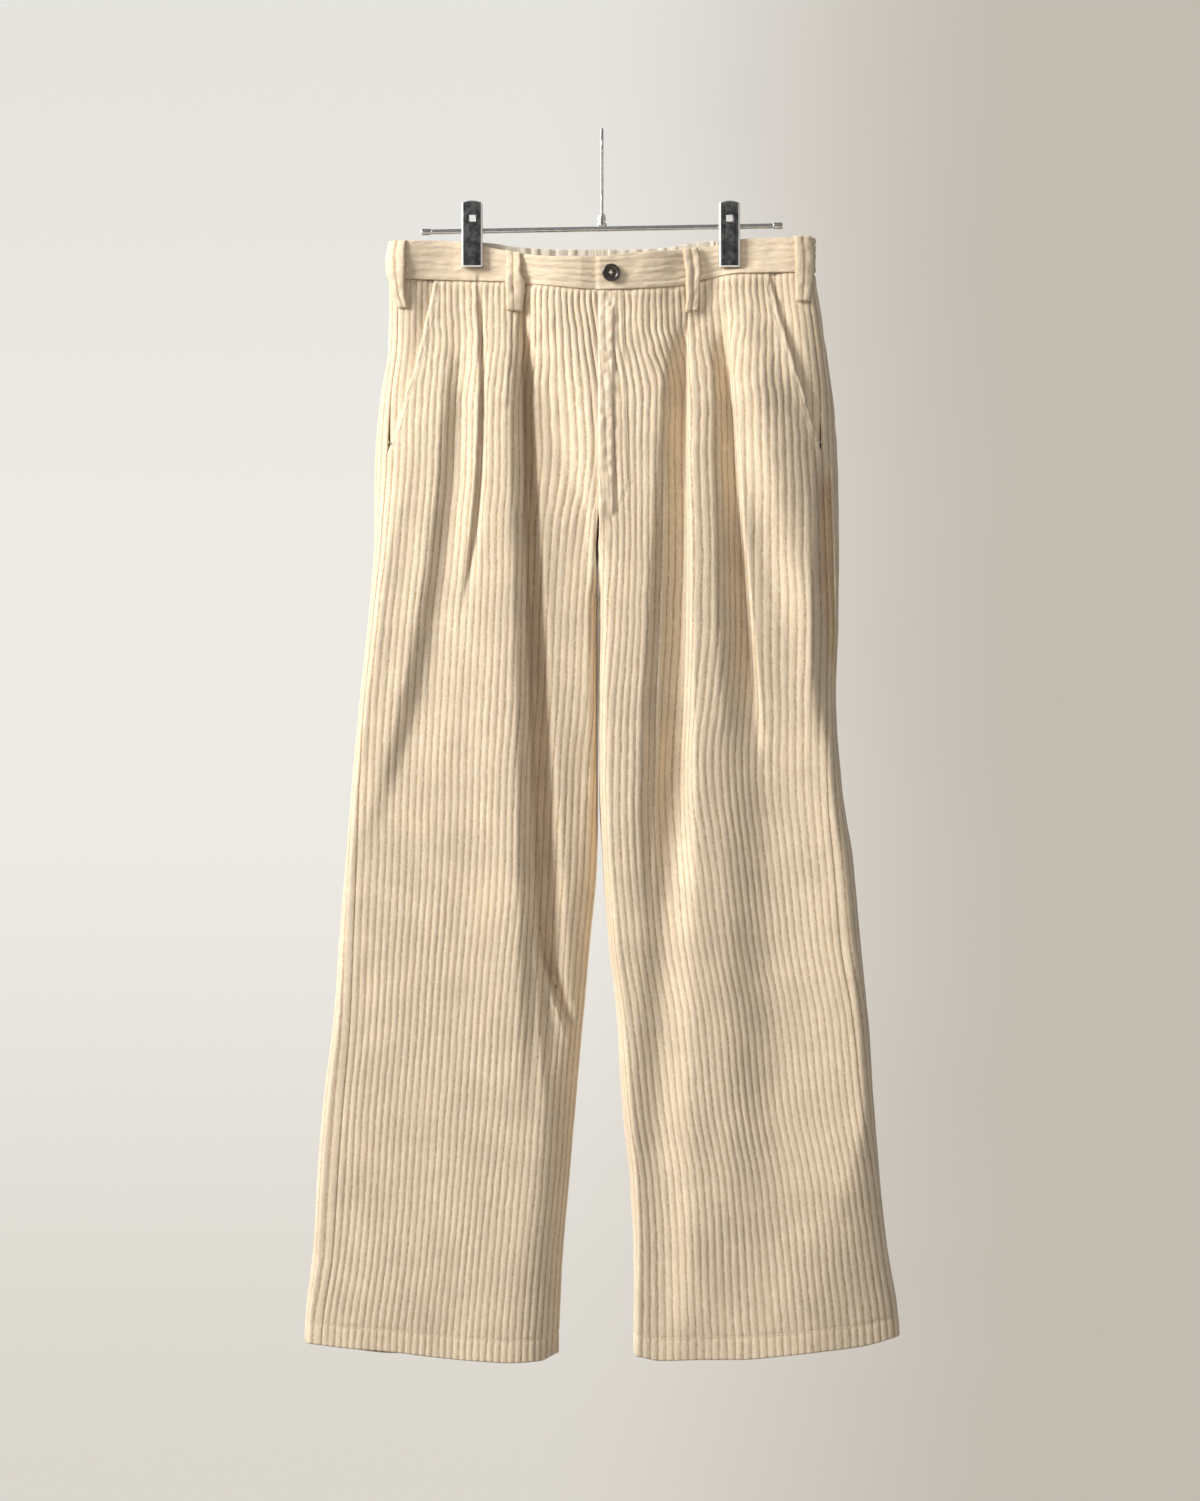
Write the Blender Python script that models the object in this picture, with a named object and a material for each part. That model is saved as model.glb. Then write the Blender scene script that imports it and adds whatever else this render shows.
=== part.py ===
"""Pleated wide-wale corduroy trousers, hung by the waistband from a two-clip wire hanger.

Sizes are millimetres until a mesh is made. +Z is up and -Y is the front of the garment.
The wearer's right side is at -X and the wearer's left side at +X.
The origin is the underside of the hook's crown, where the hanger rests on its rail.
"""
import math
from collections import namedtuple

import bmesh
import bpy
import numpy as np
from mathutils import Matrix, Vector

MM = 0.001
COLLECTION = "corduroy_trousers_on_clip_hanger"
RIGHT, LEFT = -1, 1
SIDE_NAME = {RIGHT: "right", LEFT: "left"}

# ---- cloth ----------------------------------------------------------------------------------------
SEAM_GAP = 0.3              # clear space between two pieces of cloth
RIB = 1.3                   # height of a wale over the cloth's ground
WALL = 1.6                  # ground cloth of a leg panel
HEM_WALL = 2.6              # turned-up cloth at the hem
BAND_WALL = 2.0             # doubled cloth of the waistband
BAND_PROUD = 0.8            # how far the waistband stands out from the panels under it
ELASTIC_WALL = 3.6          # the waistband's back, with the elastic inside it
FACING_WALL = 2.2           # the plain inside of the elastic back, half way up its gathers
FACING_GATHER = 0.7         # depth of its gathers over the outside's
FACING_START = 6            # wales between the outseam and the end of that facing
FACING_TOP = 0.15           # its upper edge, in band wales below the waistband's
FRONT_WALES = 36            # wales across one front panel
BACK_WALES = 36             # wales across one back panel
BAND_WALES = 5              # wales up the waistband, which is cut crosswise
BAND_COLUMNS = 17           # columns of points along one front waistband
GATHER = 1.5                # half depth of the elastic waist's gathers
GATHER_WALES = 2            # back wales taken up by one gather
GATHER_FADE = 90.0          # how far the gathers run down from the waist seam

# ---- heights on the flat cloth --------------------------------------------------------------------
Z_BAND_TOP = -104.0
Z_WAIST = -140.0            # seam between the waistband and the panels
Z_POCKET_END = -300.0       # where the slanted pocket mouth reaches the outseam
Z_RISE_FRONT = -330.0       # where the centre front seam starts to turn under
Z_RISE_BACK = -290.0
Z_CROTCH = -432.0
Z_HEM = -1140.0
PANEL_ROWS = (Z_WAIST, -172, -212, -256, Z_POCKET_END, -375, Z_CROTCH, -520, -640, -780, -930, -1060, Z_HEM)

# ---- widths ---------------------------------------------------------------------------------------
X_MID = -3.7                # centre front and centre back seams
LEG_CLEAR = 1.9             # the legs' inner edges stand this far off the line they share
ROUND_FRONT = 1.15          # reach of the rounding at an edge, in depths of the front
ROUND_BACK = 1.25
INSEAM_SHIFT = 9.0          # the left inseam rolls this far on to the front by the hem
Z_SHIFT_TOP, Z_SHIFT_END = -600.0, -1000.0
POCKET_X_TOP = 155.0        # the pocket mouth's distance from the middle at the waist seam
POCKET_UNDERLAP = 1.6       # wales of the pocket facing that run under the front panel
POCKET_DROP = 3.4           # how far the facing lies inside the front panel's face, at the waist seam
POCKET_DEEPER = 1.6         # and how much further at the pocket's foot
POCKET_TAPER = 0.7          # wales by which the facing draws back from the outseam at its foot
POCKET_FOOT = 0.4           # wales of facing that still show there
POCKET_RIB_FADE = 0.8       # wales past the mouth in which its own wales come up
POCKET_RISE = 2.5           # wales past the mouth in which it comes up to the front's face
FLY_EDGE_X = -5.6           # the left waistband ends here, over the right one
FLY_UNDER_X = (20.0, 6.0, -8.5)   # the right waistband's points under the left one
FLY_TURN = 15.0             # the right waistband starts to dip this far from the middle
FLY_DROP = 4.0              # how far it dips there

# One row for each height. out, in: x of the side fold and of the inner edge. seam: how far the outseam
# lies in from the side fold, on the front. front, back: depth of the hollow form before and behind y = 0.
Section = namedtuple("Section", "z right_out left_out right_in left_in right_seam left_seam front back")
SECTIONS = (
    Section(-98, 196.5, 197.0, X_MID, X_MID, 7.0, 7.0, 25, 6),
    Section(-140, 197.5, 198.0, X_MID, X_MID, 7.0, 7.0, 21, 8),
    Section(-195, 199.0, 206.5, X_MID, X_MID, 8.0, 9.0, 25, 20),
    Section(-250, 206.9, 215.3, X_MID, X_MID, 10.0, 12.0, 29, 30),
    Section(-306, 212.0, 219.9, X_MID, X_MID, 12.0, 15.0, 32, 36),
    Section(-380, 213.0, 221.3, X_MID, X_MID, 8.0, 13.0, 34, 38),
    Section(-455, 218.6, 220.8, X_MID, X_MID, 6.0, 10.0, 34, 37),
    Section(-530, 226.9, 218.5, X_MID, X_MID, 6.5, 9.0, 33, 34),
    Section(-604, 233.4, 223.2, X_MID, -3.0, 8.5, 14.0, 32, 32),
    Section(-678, 239.0, 233.9, -5.9, 1.9, 11.5, 19.0, 31, 31),
    Section(-752, 244.6, 241.3, -12.6, 7.4, 14.0, 20.0, 31, 30),
    Section(-827, 250.2, 248.3, -17.7, 14.4, 16.5, 15.0, 30, 29),
    Section(-901, 259.5, 253.0, -24.2, 18.6, 19.5, 12.0, 29, 28),
    Section(-976, 266.0, 259.9, -30.7, 26.5, 20.5, 7.0, 28, 27),
    Section(-1050, 269.7, 266.9, -36.9, 30.1, 19.5, 5.0, 27, 26),
    Section(-1124, 276.7, 276.5, -40.0, 30.1, 17.0, 5.0, 26, 25),
    Section(-1150, 277.5, 278.5, -40.5, 30.0, 16.5, 5.0, 26, 25),
)

# One row for each fold. The crest starts at x_top, passes x_mid half way and ends at x_end. height lifts
# the crest and depth sinks the trough on its inner side; steep is the width of the flank between them.
# outer and inner are the widths over which crest and trough die away; start is the strength at z_top.
Fold = namedtuple("Fold", "name side z_top z_end x_top x_mid x_end height depth steep_top steep_end "
                          "outer inner start")
FRONT_FOLDS = (
    Fold("right_pleat_1", RIGHT, -140, -830, -80, -74, -62, 7.0, 13.0, 9, 11, 40, 50, 0.35),
    Fold("right_pleat_2", RIGHT, -140, -520, -117.5, -116.5, -140, 3.5, 4.0, 6, 7, 14, 18, 0.5),
    Fold("right_hip_hollow", RIGHT, -165, -640, -158, -180, -222, 1.5, 6.0, 16, 20, 20, 26, 0.3),
    Fold("right_knee_twist", RIGHT, -700, -830, -70, -60, -22, 3.0, 7.0, 10, 10, 22, 18, 0.0),
    Fold("right_shin_turn", RIGHT, -860, -1300, -88, -95, -97, 4.5, 4.5, 30, 34, 60, 30, 0.0),
    Fold("left_pleat_1", LEFT, -140, -960, 80, 73, 78, 7.0, 12.5, 10, 30, 36, 26, 0.35),
    Fold("left_pleat_2", LEFT, -140, -1010, 119, 141, 172, 5.5, 9.0, 9, 32, 44, 18, 0.45),
    Fold("left_side_fold", LEFT, -298, -620, 212, 213, 214, 2.0, 11.0, 8, 8, 12, 22, 0.0),
    Fold("left_shin_hollow", LEFT, -960, -1240, 84, 78, 70, 2.0, 3.0, 24, 30, 50, 30, 0.0),
)
BACK_FOLDS = (
    Fold("right_seat_fold", RIGHT, -230, -900, -92, -104, -118, 4.5, 7.0, 14, 26, 46, 34, 0.0),
    Fold("right_back_drape", RIGHT, -330, -1060, -158, -172, -196, 4.0, 5.0, 18, 26, 34, 28, 0.0),
    Fold("left_seat_fold", LEFT, -215, -940, 84, 98, 122, 5.0, 7.5, 14, 28, 44, 32, 0.0),
    Fold("left_back_drape", LEFT, -300, -1000, 152, 170, 190, 4.0, 5.5, 16, 26, 34, 28, 0.0),
)
FOLD_GROW = 0.16            # share of a fold's run in which it comes to full strength
FOLD_FADE = 0.35            # share of its run in which it dies away
Z_FLAT_BAND = -124.0        # above this the waistband carries none of the folds

# Rise of each edge over its flat height, from the front: x, then millimetres up.
FRONT_BAND_TOP = ((-197, 0), (-150, 1), (-120, -2), (-100, -6), (-72, -12), (-44, -15), (0, -15),
                  (29, -12), (71, -8.5), (107, -3), (130, 2.5), (197, 4.5))
FRONT_WAIST = ((-197, 1), (-92, -1.5), (-50, -6), (0, -10), (50, -8), (75, -5), (97, 1), (127, 6), (197, 7.5))
BACK_BAND_TOP = ((-197, 0), (-110, 0), (-78, -4), (-40, -5.8), (19, -5.8), (55, -4.5), (81, -0.5),
                 (107, 2), (197, 4.5))
BACK_WAIST = ((-197, 1), (-110, 0), (-78, -3), (-40, -5), (19, -5), (55, -3), (81, 1), (107, 4), (197, 7.5))
FRONT_HEM = ((-277, 17), (-239, 12), (-193, 8), (-152, 3), (-120, 0), (-84, -2), (-57, -1), (-41, 4),
             (30, 4), (54, 0), (91, 1), (128, 1), (165, 4), (203, 8), (240, 12), (268, 18), (277, 20))
BACK_HEM = ((-277, 17), (-239, 5), (-193, 0), (-152, 0), (-84, 0), (-41, 4),
            (30, 4), (54, 1), (128, 0), (203, 5), (240, 12), (268, 18), (277, 20))
WAIST_REACH = 160.0         # the waist line's dips are gone this far below the seam
HEM_REACH = 150.0
SEAM_SHARE = 40.0           # behind the outseam the back takes the front's heights, less and less over this

# ---- hanger ---------------------------------------------------------------------------------------
BAR_RADIUS = 2.4
BAR_HALF = 158.5            # without the caps
BAR_Y = -4.0
BAR_Z_LEFT_END, BAR_Z_RIGHT_END = -88.8, -94.4   # at the wearer's left and right end
CAP_RADIUS, CAP_LENGTH = 3.1, 9.0
FERRULE_RADIUS, FERRULE_LENGTH = 3.8, 11.0
WIRE_RADIUS = 1.4
WIRE_BEVEL = 2              # steps in a quarter of the wire's round
ROD_SIDES = 16              # flats round the bar, its caps, the ferrule and the bores
ROD_ROUGHNESS, JAW_ROUGHNESS, WIRE_ROUGHNESS = 0.12, 0.15, 0.1
HOOK_RADIUS = 17.9          # of the wire's middle line, round a rail 25 mm thick
HOOK_START_ANGLE = -18.0    # degrees from level, at the rail's front, where the arc leaves the neck
HOOK_TIP_ANGLE = 35.0       # degrees that the tip runs on below the level of the arc's centre
HOOK_STEPS, NECK_STEPS = 18, 5    # points along the arc and along the neck
STEM_Z, NECK_Z = -70.0, -58.0     # the straight stem's upper end and the start of the neck's bend
CLIP_X = {RIGHT: -120.4, LEFT: 118.3}
CLIP_Z_TOP, CLIP_Z_BOTTOM = -66.5, -128.0
CLIP_WIDTH = 19.5
CLIP_CROWN = 3.2            # rise of the jaw's rounded top
CLIP_CROWN_STEPS = 9        # points along that round
CLIP_FLANGE_RISE = 8.0      # the side edges reach this far over the bar
CLIP_EAR_HEIGHT, CLIP_EAR_RISE = 11.0, 1.5       # the ears round the bar, and their middle over it
CLIP_EAR_BEYOND = 1.6       # and how far they run on past it
CLIP_CLEAR_SIDE, CLIP_CLEAR_BELOW = 13.0, 5.0    # cloth this close to a jaw is kept clear of its face
CLIP_SHEET = 1.0
CLIP_FLANGE = 2.6           # depth of the turned side edges along the cloth
CLIP_HOLE = (6.5, 6.0)      # width and height of the window in the jaw
CLIP_HOLE_Z = -83.0
CLIP_HOLE_REACH = 12.0      # the window's cutter is this deep
CLIP_INNER_WIDTH = 16.6     # the back jaw's ears fit inside the front jaw's
PINCH_REACH = 45.0          # the cloth comes back to its full depth this far from a clip
PINCH_FRONT_Y, PINCH_BACK_Y = -8.0, 2.5
PINCH_Z_FULL, PINCH_Z_END = -150.0, -340.0

# ---- belt loops and button -------------------------------------------------------------------------
LOOP_WIDTH, LOOP_WALL = 16.0, 1.6
LOOP_BELOW_SEAM = 27.0
LOOP_ARCH = 1.6             # how far its middle stands off the waistband
LOOP_ROWS, LOOP_COLUMNS = 7, 5
LOOP_RISE = 0.6             # the loops end this far over the waistband's top edge
LOOP_BACK_X = 5.3           # the back loop stands just left of the centre back seam
FRONT_LOOPS = (("belt_loop_side_right", RIGHT, 188.5), ("belt_loop_front_right", RIGHT, 81.5),
               ("belt_loop_front_left", LEFT, 81.0), ("belt_loop_side_left", LEFT, 185.0))
BUTTON_X, BUTTON_Z = 8.4, -122.5
BUTTON_RADIUS, BUTTON_THICKNESS = 8.2, 3.0
BUTTON_SIDES = 24
BUTTON_HOLE_RADIUS, BUTTON_HOLE_SPREAD, BUTTON_HOLE_SIDES = 1.0, 1.9, 8
BUTTON_ROUGHNESS = 0.35

CREAM = (0.72, 0.60, 0.44)
FACING_CREAM = (0.78, 0.71, 0.60)
STEEL = (0.62, 0.62, 0.63)
DARK_HORN = (0.035, 0.028, 0.024)


# ---- curves ---------------------------------------------------------------------------------------
def smoothstep(low, high, value):
    t = np.clip((value - low) / (high - low), 0.0, 1.0)
    return t * t * (3.0 - 2.0 * t)


def smooth_curve(where, points):
    """A smooth curve through (position, value) points that never overshoots them."""
    points = sorted(points)
    xs = np.array([p[0] for p in points], float)
    ys = np.array([p[1] for p in points], float)
    step = np.diff(xs)
    slope = np.diff(ys) / step
    before, after = slope[:-1], slope[1:]
    same_way = before * after > 0.0
    total = np.where(same_way, before + after, 1.0)
    middle = np.where(same_way, 2.0 * before * after / total, 0.0)
    tangent = np.concatenate(([slope[0]], middle, [slope[-1]]))
    where = np.clip(np.asarray(where, float), xs[0], xs[-1])
    i = np.clip(np.searchsorted(xs, where) - 1, 0, len(step) - 1)
    t = (where - xs[i]) / step[i]
    return (ys[i] * (1 + 2 * t) * (1 - t) ** 2 + ys[i + 1] * t * t * (3 - 2 * t)
            + step[i] * t * (1 - t) * (tangent[i] * (1 - t) - tangent[i + 1] * t))


def section_value(column, z):
    return smooth_curve(z, [(row.z, getattr(row, column)) for row in SECTIONS])


def edge_rounding(distance, reach):
    """A quarter ellipse: 0 at the edge, 1 from reach inwards."""
    t = np.clip(distance / reach, 0.0, 1.0)
    return np.sqrt(np.maximum(0.0, 1.0 - (1.0 - t) ** 2))


def open_seam(z, z_rise):
    """1 where the two halves meet at the middle seam, 0 below the crotch, a quarter round between."""
    t = np.clip((z_rise - z) / (z_rise - Z_CROTCH), 0.0, 1.0)
    return np.sqrt(1.0 - t * t)


# ---- the outer surface of the garment --------------------------------------------------------------
def outer_x(side, z):
    return side * (section_value(SIDE_NAME[side] + "_out", z) - RIB)


def inner_x(side, z):
    closed = 1.0 - min(open_seam(z, Z_RISE_FRONT), open_seam(z, Z_RISE_BACK))
    return section_value(SIDE_NAME[side] + "_in", z) + side * (SEAM_GAP / 2 + LEG_CLEAR * closed)


def pinch(x, z):
    """1 between a clip's jaws, 0 away from them."""
    near = sum(np.exp(-(np.abs(x - clip_x) / PINCH_REACH) ** 3) for clip_x in CLIP_X.values())
    return near * (1.0 - smoothstep(-PINCH_Z_FULL, -PINCH_Z_END, -z))


def fold_height(fold, x, z):
    """How far one fold lifts the cloth."""
    along = float(np.clip((fold.z_top - z) / (fold.z_top - fold.z_end), 0.0, 1.0))
    bow = fold.x_mid - (fold.x_top + fold.x_end) / 2
    crest_x = fold.x_top + (fold.x_end - fold.x_top) * along + bow * 4 * along * (1 - along)
    strength = fold.start + (1 - fold.start) * smoothstep(0.0, FOLD_GROW, along)
    strength = strength * (1 - smoothstep(1 - FOLD_FADE, 1.0, along))
    strength = strength * (1 - smoothstep(Z_WAIST, Z_FLAT_BAND, z))
    steep = fold.steep_top + (fold.steep_end - fold.steep_top) * along
    out = fold.side * (x - crest_x)
    flank = smoothstep(-steep, 0.0, out)
    crest = flank * (1 - smoothstep(0.0, fold.outer, out))
    trough = (1 - flank) * smoothstep(-steep - fold.inner, -steep, out)
    return strength * (fold.height * crest - fold.depth * trough)


def face_depth(side, x, z, column, z_rise, reach_in_depths, folds, pinch_y):
    """Distance of the front or back face from y = 0 on one half, at points x of height z."""
    depth = section_value(column, z)
    reach = depth * reach_in_depths
    seam = 0.0 if z_rise is None else open_seam(z, z_rise)
    from_outer = edge_rounding(side * (outer_x(side, z) - x), reach)
    from_inner = seam + (1 - seam) * edge_rounding(side * (x - inner_x(side, z)), reach)
    lift = sum(fold_height(fold, x, z) for fold in folds if fold.side == side)
    full = (depth + lift) * from_outer * from_inner
    held = pinch(x, z)
    return full * (1 - held) + pinch_y * held


def front_y(side, x, z, z_rise=Z_RISE_FRONT):
    return -face_depth(side, x, z, "front", z_rise, ROUND_FRONT, FRONT_FOLDS, -PINCH_FRONT_Y)


def back_y(side, x, z, z_rise=Z_RISE_BACK):
    return face_depth(side, x, z, "back", z_rise, ROUND_BACK, BACK_FOLDS, PINCH_BACK_Y)


def cut_away(side, x_face, z, face_y, y_face):
    """Length of cloth that the rise cuts off one face at height z, against a leg closed all the way up."""
    if z <= Z_CROTCH:
        return 0.0
    closed = face_y(side, x_face, z, None)
    return np.hypot(np.diff(x_face), np.diff(closed)).sum() - np.hypot(np.diff(x_face), np.diff(y_face)).sum()


Curve = namedtuple("Curve", "side z length x y nx ny seam total front_cut back_cut")
CURVE_STEPS = 700           # points over one face before the curve is spaced evenly
CURVE_SPACING = 0.5
NORMAL_REACH = 5            # the normal is read over this many points each way


def section_curve(side, z):
    """One half's outer surface at height z, from the front's inner edge round the side to the back's."""
    sweep = 0.5 - 0.5 * np.cos(np.linspace(0.0, math.pi, CURVE_STEPS))
    x_face = inner_x(side, z) + (outer_x(side, z) - inner_x(side, z)) * sweep
    y_front, y_back = front_y(side, x_face, z), back_y(side, x_face, z)
    xs = np.concatenate((x_face, x_face[-2::-1]))
    ys = np.concatenate((y_front, y_back[-2::-1]))
    rough = np.concatenate(([0.0], np.cumsum(np.hypot(np.diff(xs), np.diff(ys)))))
    seam_x = outer_x(side, z) - side * section_value(SIDE_NAME[side] + "_seam", z)
    seam = np.interp(side * seam_x, side * x_face, rough[:CURVE_STEPS])
    length = np.linspace(0.0, rough[-1], int(rough[-1] / CURVE_SPACING))
    x = np.interp(length, rough, xs)
    y = np.interp(length, rough, ys)
    behind = np.arange(len(x)) - NORMAL_REACH
    ahead = np.arange(len(x)) + NORMAL_REACH
    if z <= Z_CROTCH:
        ahead = np.where(ahead >= len(x), ahead - len(x) + 1, ahead)
        behind = np.where(behind < 0, behind - 1, behind)
    else:
        ahead, behind = np.minimum(ahead, len(x) - 1), np.maximum(behind, 0)
    dx, dy = x[ahead] - x[behind], y[ahead] - y[behind]
    size = np.hypot(dx, dy)
    return Curve(side, z, length, x, y, side * dy / size, -side * dx / size, seam, rough[-1],
                 cut_away(side, x_face, z, front_y, y_front), cut_away(side, x_face, z, back_y, y_back))


def curve_point(curve, at, out):
    """Points of the section at the lengths at, moved out along its normal. Past its end it starts again."""
    at = np.asarray(at, float)
    at = np.where(at > curve.total + 0.01, at - curve.total, at)
    x, y, nx, ny = (np.interp(at, curve.length, values) for values in (curve.x, curve.y, curve.nx, curve.ny))
    size = np.hypot(nx, ny)
    return x + out * nx / size, y + out * ny / size


def lifted_z(z, x, is_front):
    """The real height of the cloth that lies at z on the flat garment."""
    band_top, waist = (FRONT_BAND_TOP, FRONT_WAIST) if is_front else (BACK_BAND_TOP, BACK_WAIST)
    hem = FRONT_HEM if is_front else BACK_HEM
    up_band = np.clip((z - Z_WAIST) / (Z_BAND_TOP - Z_WAIST), 0.0, 1.0)
    at_waist = smooth_curve(x, waist) * (1 - smoothstep(-Z_WAIST, -Z_WAIST + WAIST_REACH, -z))
    at_hem = smooth_curve(x, hem) * smoothstep(-Z_HEM - HEM_REACH, -Z_HEM, -z)
    return z + at_waist * (1 - up_band) + smooth_curve(x, band_top) * up_band + at_hem


def rib_height(wale):
    """Height of the wales: troughs at whole numbers, ridges half way between them."""
    return RIB * (0.5 - 0.5 * np.cos(2 * math.pi * np.asarray(wale, float)))


# ---- walls -----------------------------------------------------------------------------------------
Row = namedtuple("Row", "key wales points")


def zip_strip(faces, first, second):
    """Triangles between two runs of (key, vertex), advancing where the next step's middle comes first."""
    i = j = 0
    while i < len(first) - 1 or j < len(second) - 1:
        if j == len(second) - 1:
            step_first = True
        elif i == len(first) - 1:
            step_first = False
        else:
            step_first = first[i][0] + first[i + 1][0] <= second[j][0] + second[j + 1][0]
        if step_first:
            faces.append((first[i][1], first[i + 1][1], second[j][1]))
            i += 1
        else:
            faces.append((first[i][1], second[j + 1][1], second[j][1]))
            j += 1


def wall_mesh(name, outer_rows, inner_rows):
    """A closed wall between an outer and an inner sheet of rows, whose points need not match."""
    vertices, faces = [], []

    def add_sheet(rows):
        sheet = []
        for row in rows:
            sheet.append([(key, len(vertices) + n) for n, key in enumerate(row.wales)])
            vertices.extend(row.points)
        for upper, lower in zip(sheet, sheet[1:]):
            zip_strip(faces, upper, lower)
        return sheet

    outer, inner = add_sheet(outer_rows), add_sheet(inner_rows)
    for end in (0, -1):
        zip_strip(faces, outer[end], inner[end])
        outer_edge = [(row.key, line[end][1]) for row, line in zip(outer_rows, outer)]
        inner_edge = [(row.key, line[end][1]) for row, line in zip(inner_rows, inner)]
        zip_strip(faces, outer_edge, inner_edge)
    mesh = bpy.data.meshes.new(name)
    mesh.from_pydata([Vector(v) * MM for v in vertices], [], faces)
    shell = bmesh.new()
    shell.from_mesh(mesh)
    bmesh.ops.recalc_face_normals(shell, faces=shell.faces)
    if shell.calc_volume(signed=True) < 0:
        bmesh.ops.reverse_faces(shell, faces=shell.faces)
    shell.to_mesh(mesh)
    shell.free()
    return mesh


def add_object(name, mesh, color, roughness=0.9, metallic=0.0):
    """Links a mesh into the garment's collection with a material of its own."""
    material = bpy.data.materials.new(name)
    material.use_nodes = True
    shader = material.node_tree.nodes["Principled BSDF"]
    shader.inputs["Base Color"].default_value = (*color, 1.0)
    shader.inputs["Roughness"].default_value = roughness
    shader.inputs["Metallic"].default_value = metallic
    material.diffuse_color = (*color, 1.0)
    piece = bpy.data.objects.new(name, mesh)
    piece.data.materials.clear()
    piece.data.materials.append(material)
    parts.objects.link(piece)
    return piece


END_CLEAR = 0.3             # no point lies closer than this share of a step to the end of its row


def half_steps(low, high, step):
    """The multiples of step between low and high, with both ends."""
    first = math.floor(low / step + END_CLEAR) + 1
    inside = [n * step for n in range(first, int(high / step) + 1) if n * step < high - END_CLEAR * step]
    return np.array([low] + inside + [high])


# ---- leg panels ------------------------------------------------------------------------------------
def inseam_shift(side, z):
    return INSEAM_SHIFT * smoothstep(-Z_SHIFT_TOP, -Z_SHIFT_END, -z) if side == LEFT else 0.0


def panel_wall(z):
    return WALL + (HEM_WALL - WALL) * smoothstep(-PANEL_ROWS[-2], -Z_HEM, -z)


def panel_z(z):
    """The top and bottom rows are trimmed clear of the waistband; the rest stay where they are."""
    return z - SEAM_GAP / 2 if z == Z_WAIST else z


def front_span(curve):
    """Where the full front, pocket facing included, starts and ends along a section."""
    return inseam_shift(curve.side, curve.z) + SEAM_GAP / 2, curve.seam - SEAM_GAP / 2


def front_pitch(curve):
    start, end = front_span(curve)
    return (end - start + curve.front_cut) / FRONT_WALES


def front_first(curve):
    """The wale at the front's inner edge: the rise cuts some away above the crotch."""
    return curve.front_cut / front_pitch(curve)


def back_span(curve):
    return curve.seam + SEAM_GAP / 2, curve.total + inseam_shift(curve.side, curve.z) - SEAM_GAP / 2


def back_pitch(curve):
    start, end = back_span(curve)
    return (end - start + curve.back_cut) / BACK_WALES


def back_last(curve):
    return BACK_WALES - curve.back_cut / back_pitch(curve)


def pocket_wale(curve):
    """The wale at which the pocket mouth cuts a front panel; all the wales below the pocket."""
    if curve.z <= Z_POCKET_END:
        return FRONT_WALES
    start, end = front_span(curve)
    down = (Z_WAIST - curve.z) / (Z_WAIST - Z_POCKET_END)
    end_x = curve.side * np.interp(end, curve.length, curve.x)
    mouth_x = POCKET_X_TOP + (end_x - POCKET_X_TOP) * down
    half = curve.length <= end
    mouth = np.interp(mouth_x, curve.side * curve.x[half], curve.length[half])
    return FRONT_WALES - (end - mouth) / front_pitch(curve)


def front_row(curve, wales, out):
    """One row of a front sheet; its wales are counted from the inseam and laid off from the outseam."""
    x, y = curve_point(curve, front_span(curve)[1] - (FRONT_WALES - wales) * front_pitch(curve), out)
    z = lifted_z(panel_z(curve.z), x, True)
    return Row(-curve.z, wales, np.stack((x, y, z), axis=1))


def back_row(curve, wales, out):
    """One row of a back sheet; its wales are counted from the outseam."""
    at = back_span(curve)[0] + wales * back_pitch(curve)
    x, y = curve_point(curve, at, out)
    front_share = 1 - smoothstep(curve.seam, curve.seam + SEAM_SHARE, at)
    z = panel_z(curve.z)
    return Row(-curve.z, wales, np.stack(
        (x, y, lifted_z(z, x, True) * front_share + lifted_z(z, x, False) * (1 - front_share)), axis=1))


def gather_wave(wales, z):
    """The gathers that the elastic waist presses into the back."""
    fade = 1 - smoothstep(-Z_WAIST, -Z_WAIST + GATHER_FADE, -z)
    ends = np.minimum(1.0, np.minimum(wales, BACK_WALES - wales) / 2)
    return GATHER * fade * ends * np.cos(2 * math.pi * wales / GATHER_WALES)


def make_front(side):
    outer_rows, inner_rows = [], []
    for curve in curves[side]:
        first, last = front_first(curve), pocket_wale(curve)
        fine, coarse = half_steps(first, last, 0.5), half_steps(first, last, 1)
        outer_rows.append(front_row(curve, fine, rib_height(fine)))
        inner_rows.append(front_row(curve, coarse, -panel_wall(curve.z)))
    name = "front_" + SIDE_NAME[side]
    add_object(name, wall_mesh(name, outer_rows, inner_rows), CREAM)


def make_back(side):
    outer_rows, inner_rows = [], []
    for curve in curves[side]:
        last = back_last(curve)
        fine, coarse = half_steps(0, last, 0.5), half_steps(0, last, 1)
        gathers = [gather_wave(wales * BACK_WALES / last, curve.z) for wales in (fine, coarse)]
        outer_rows.append(back_row(curve, fine, rib_height(fine) + gathers[0]))
        inner_rows.append(back_row(curve, coarse, gathers[1] - panel_wall(curve.z)))
    name = "back_" + SIDE_NAME[side]
    add_object(name, wall_mesh(name, outer_rows, inner_rows), CREAM)


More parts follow.
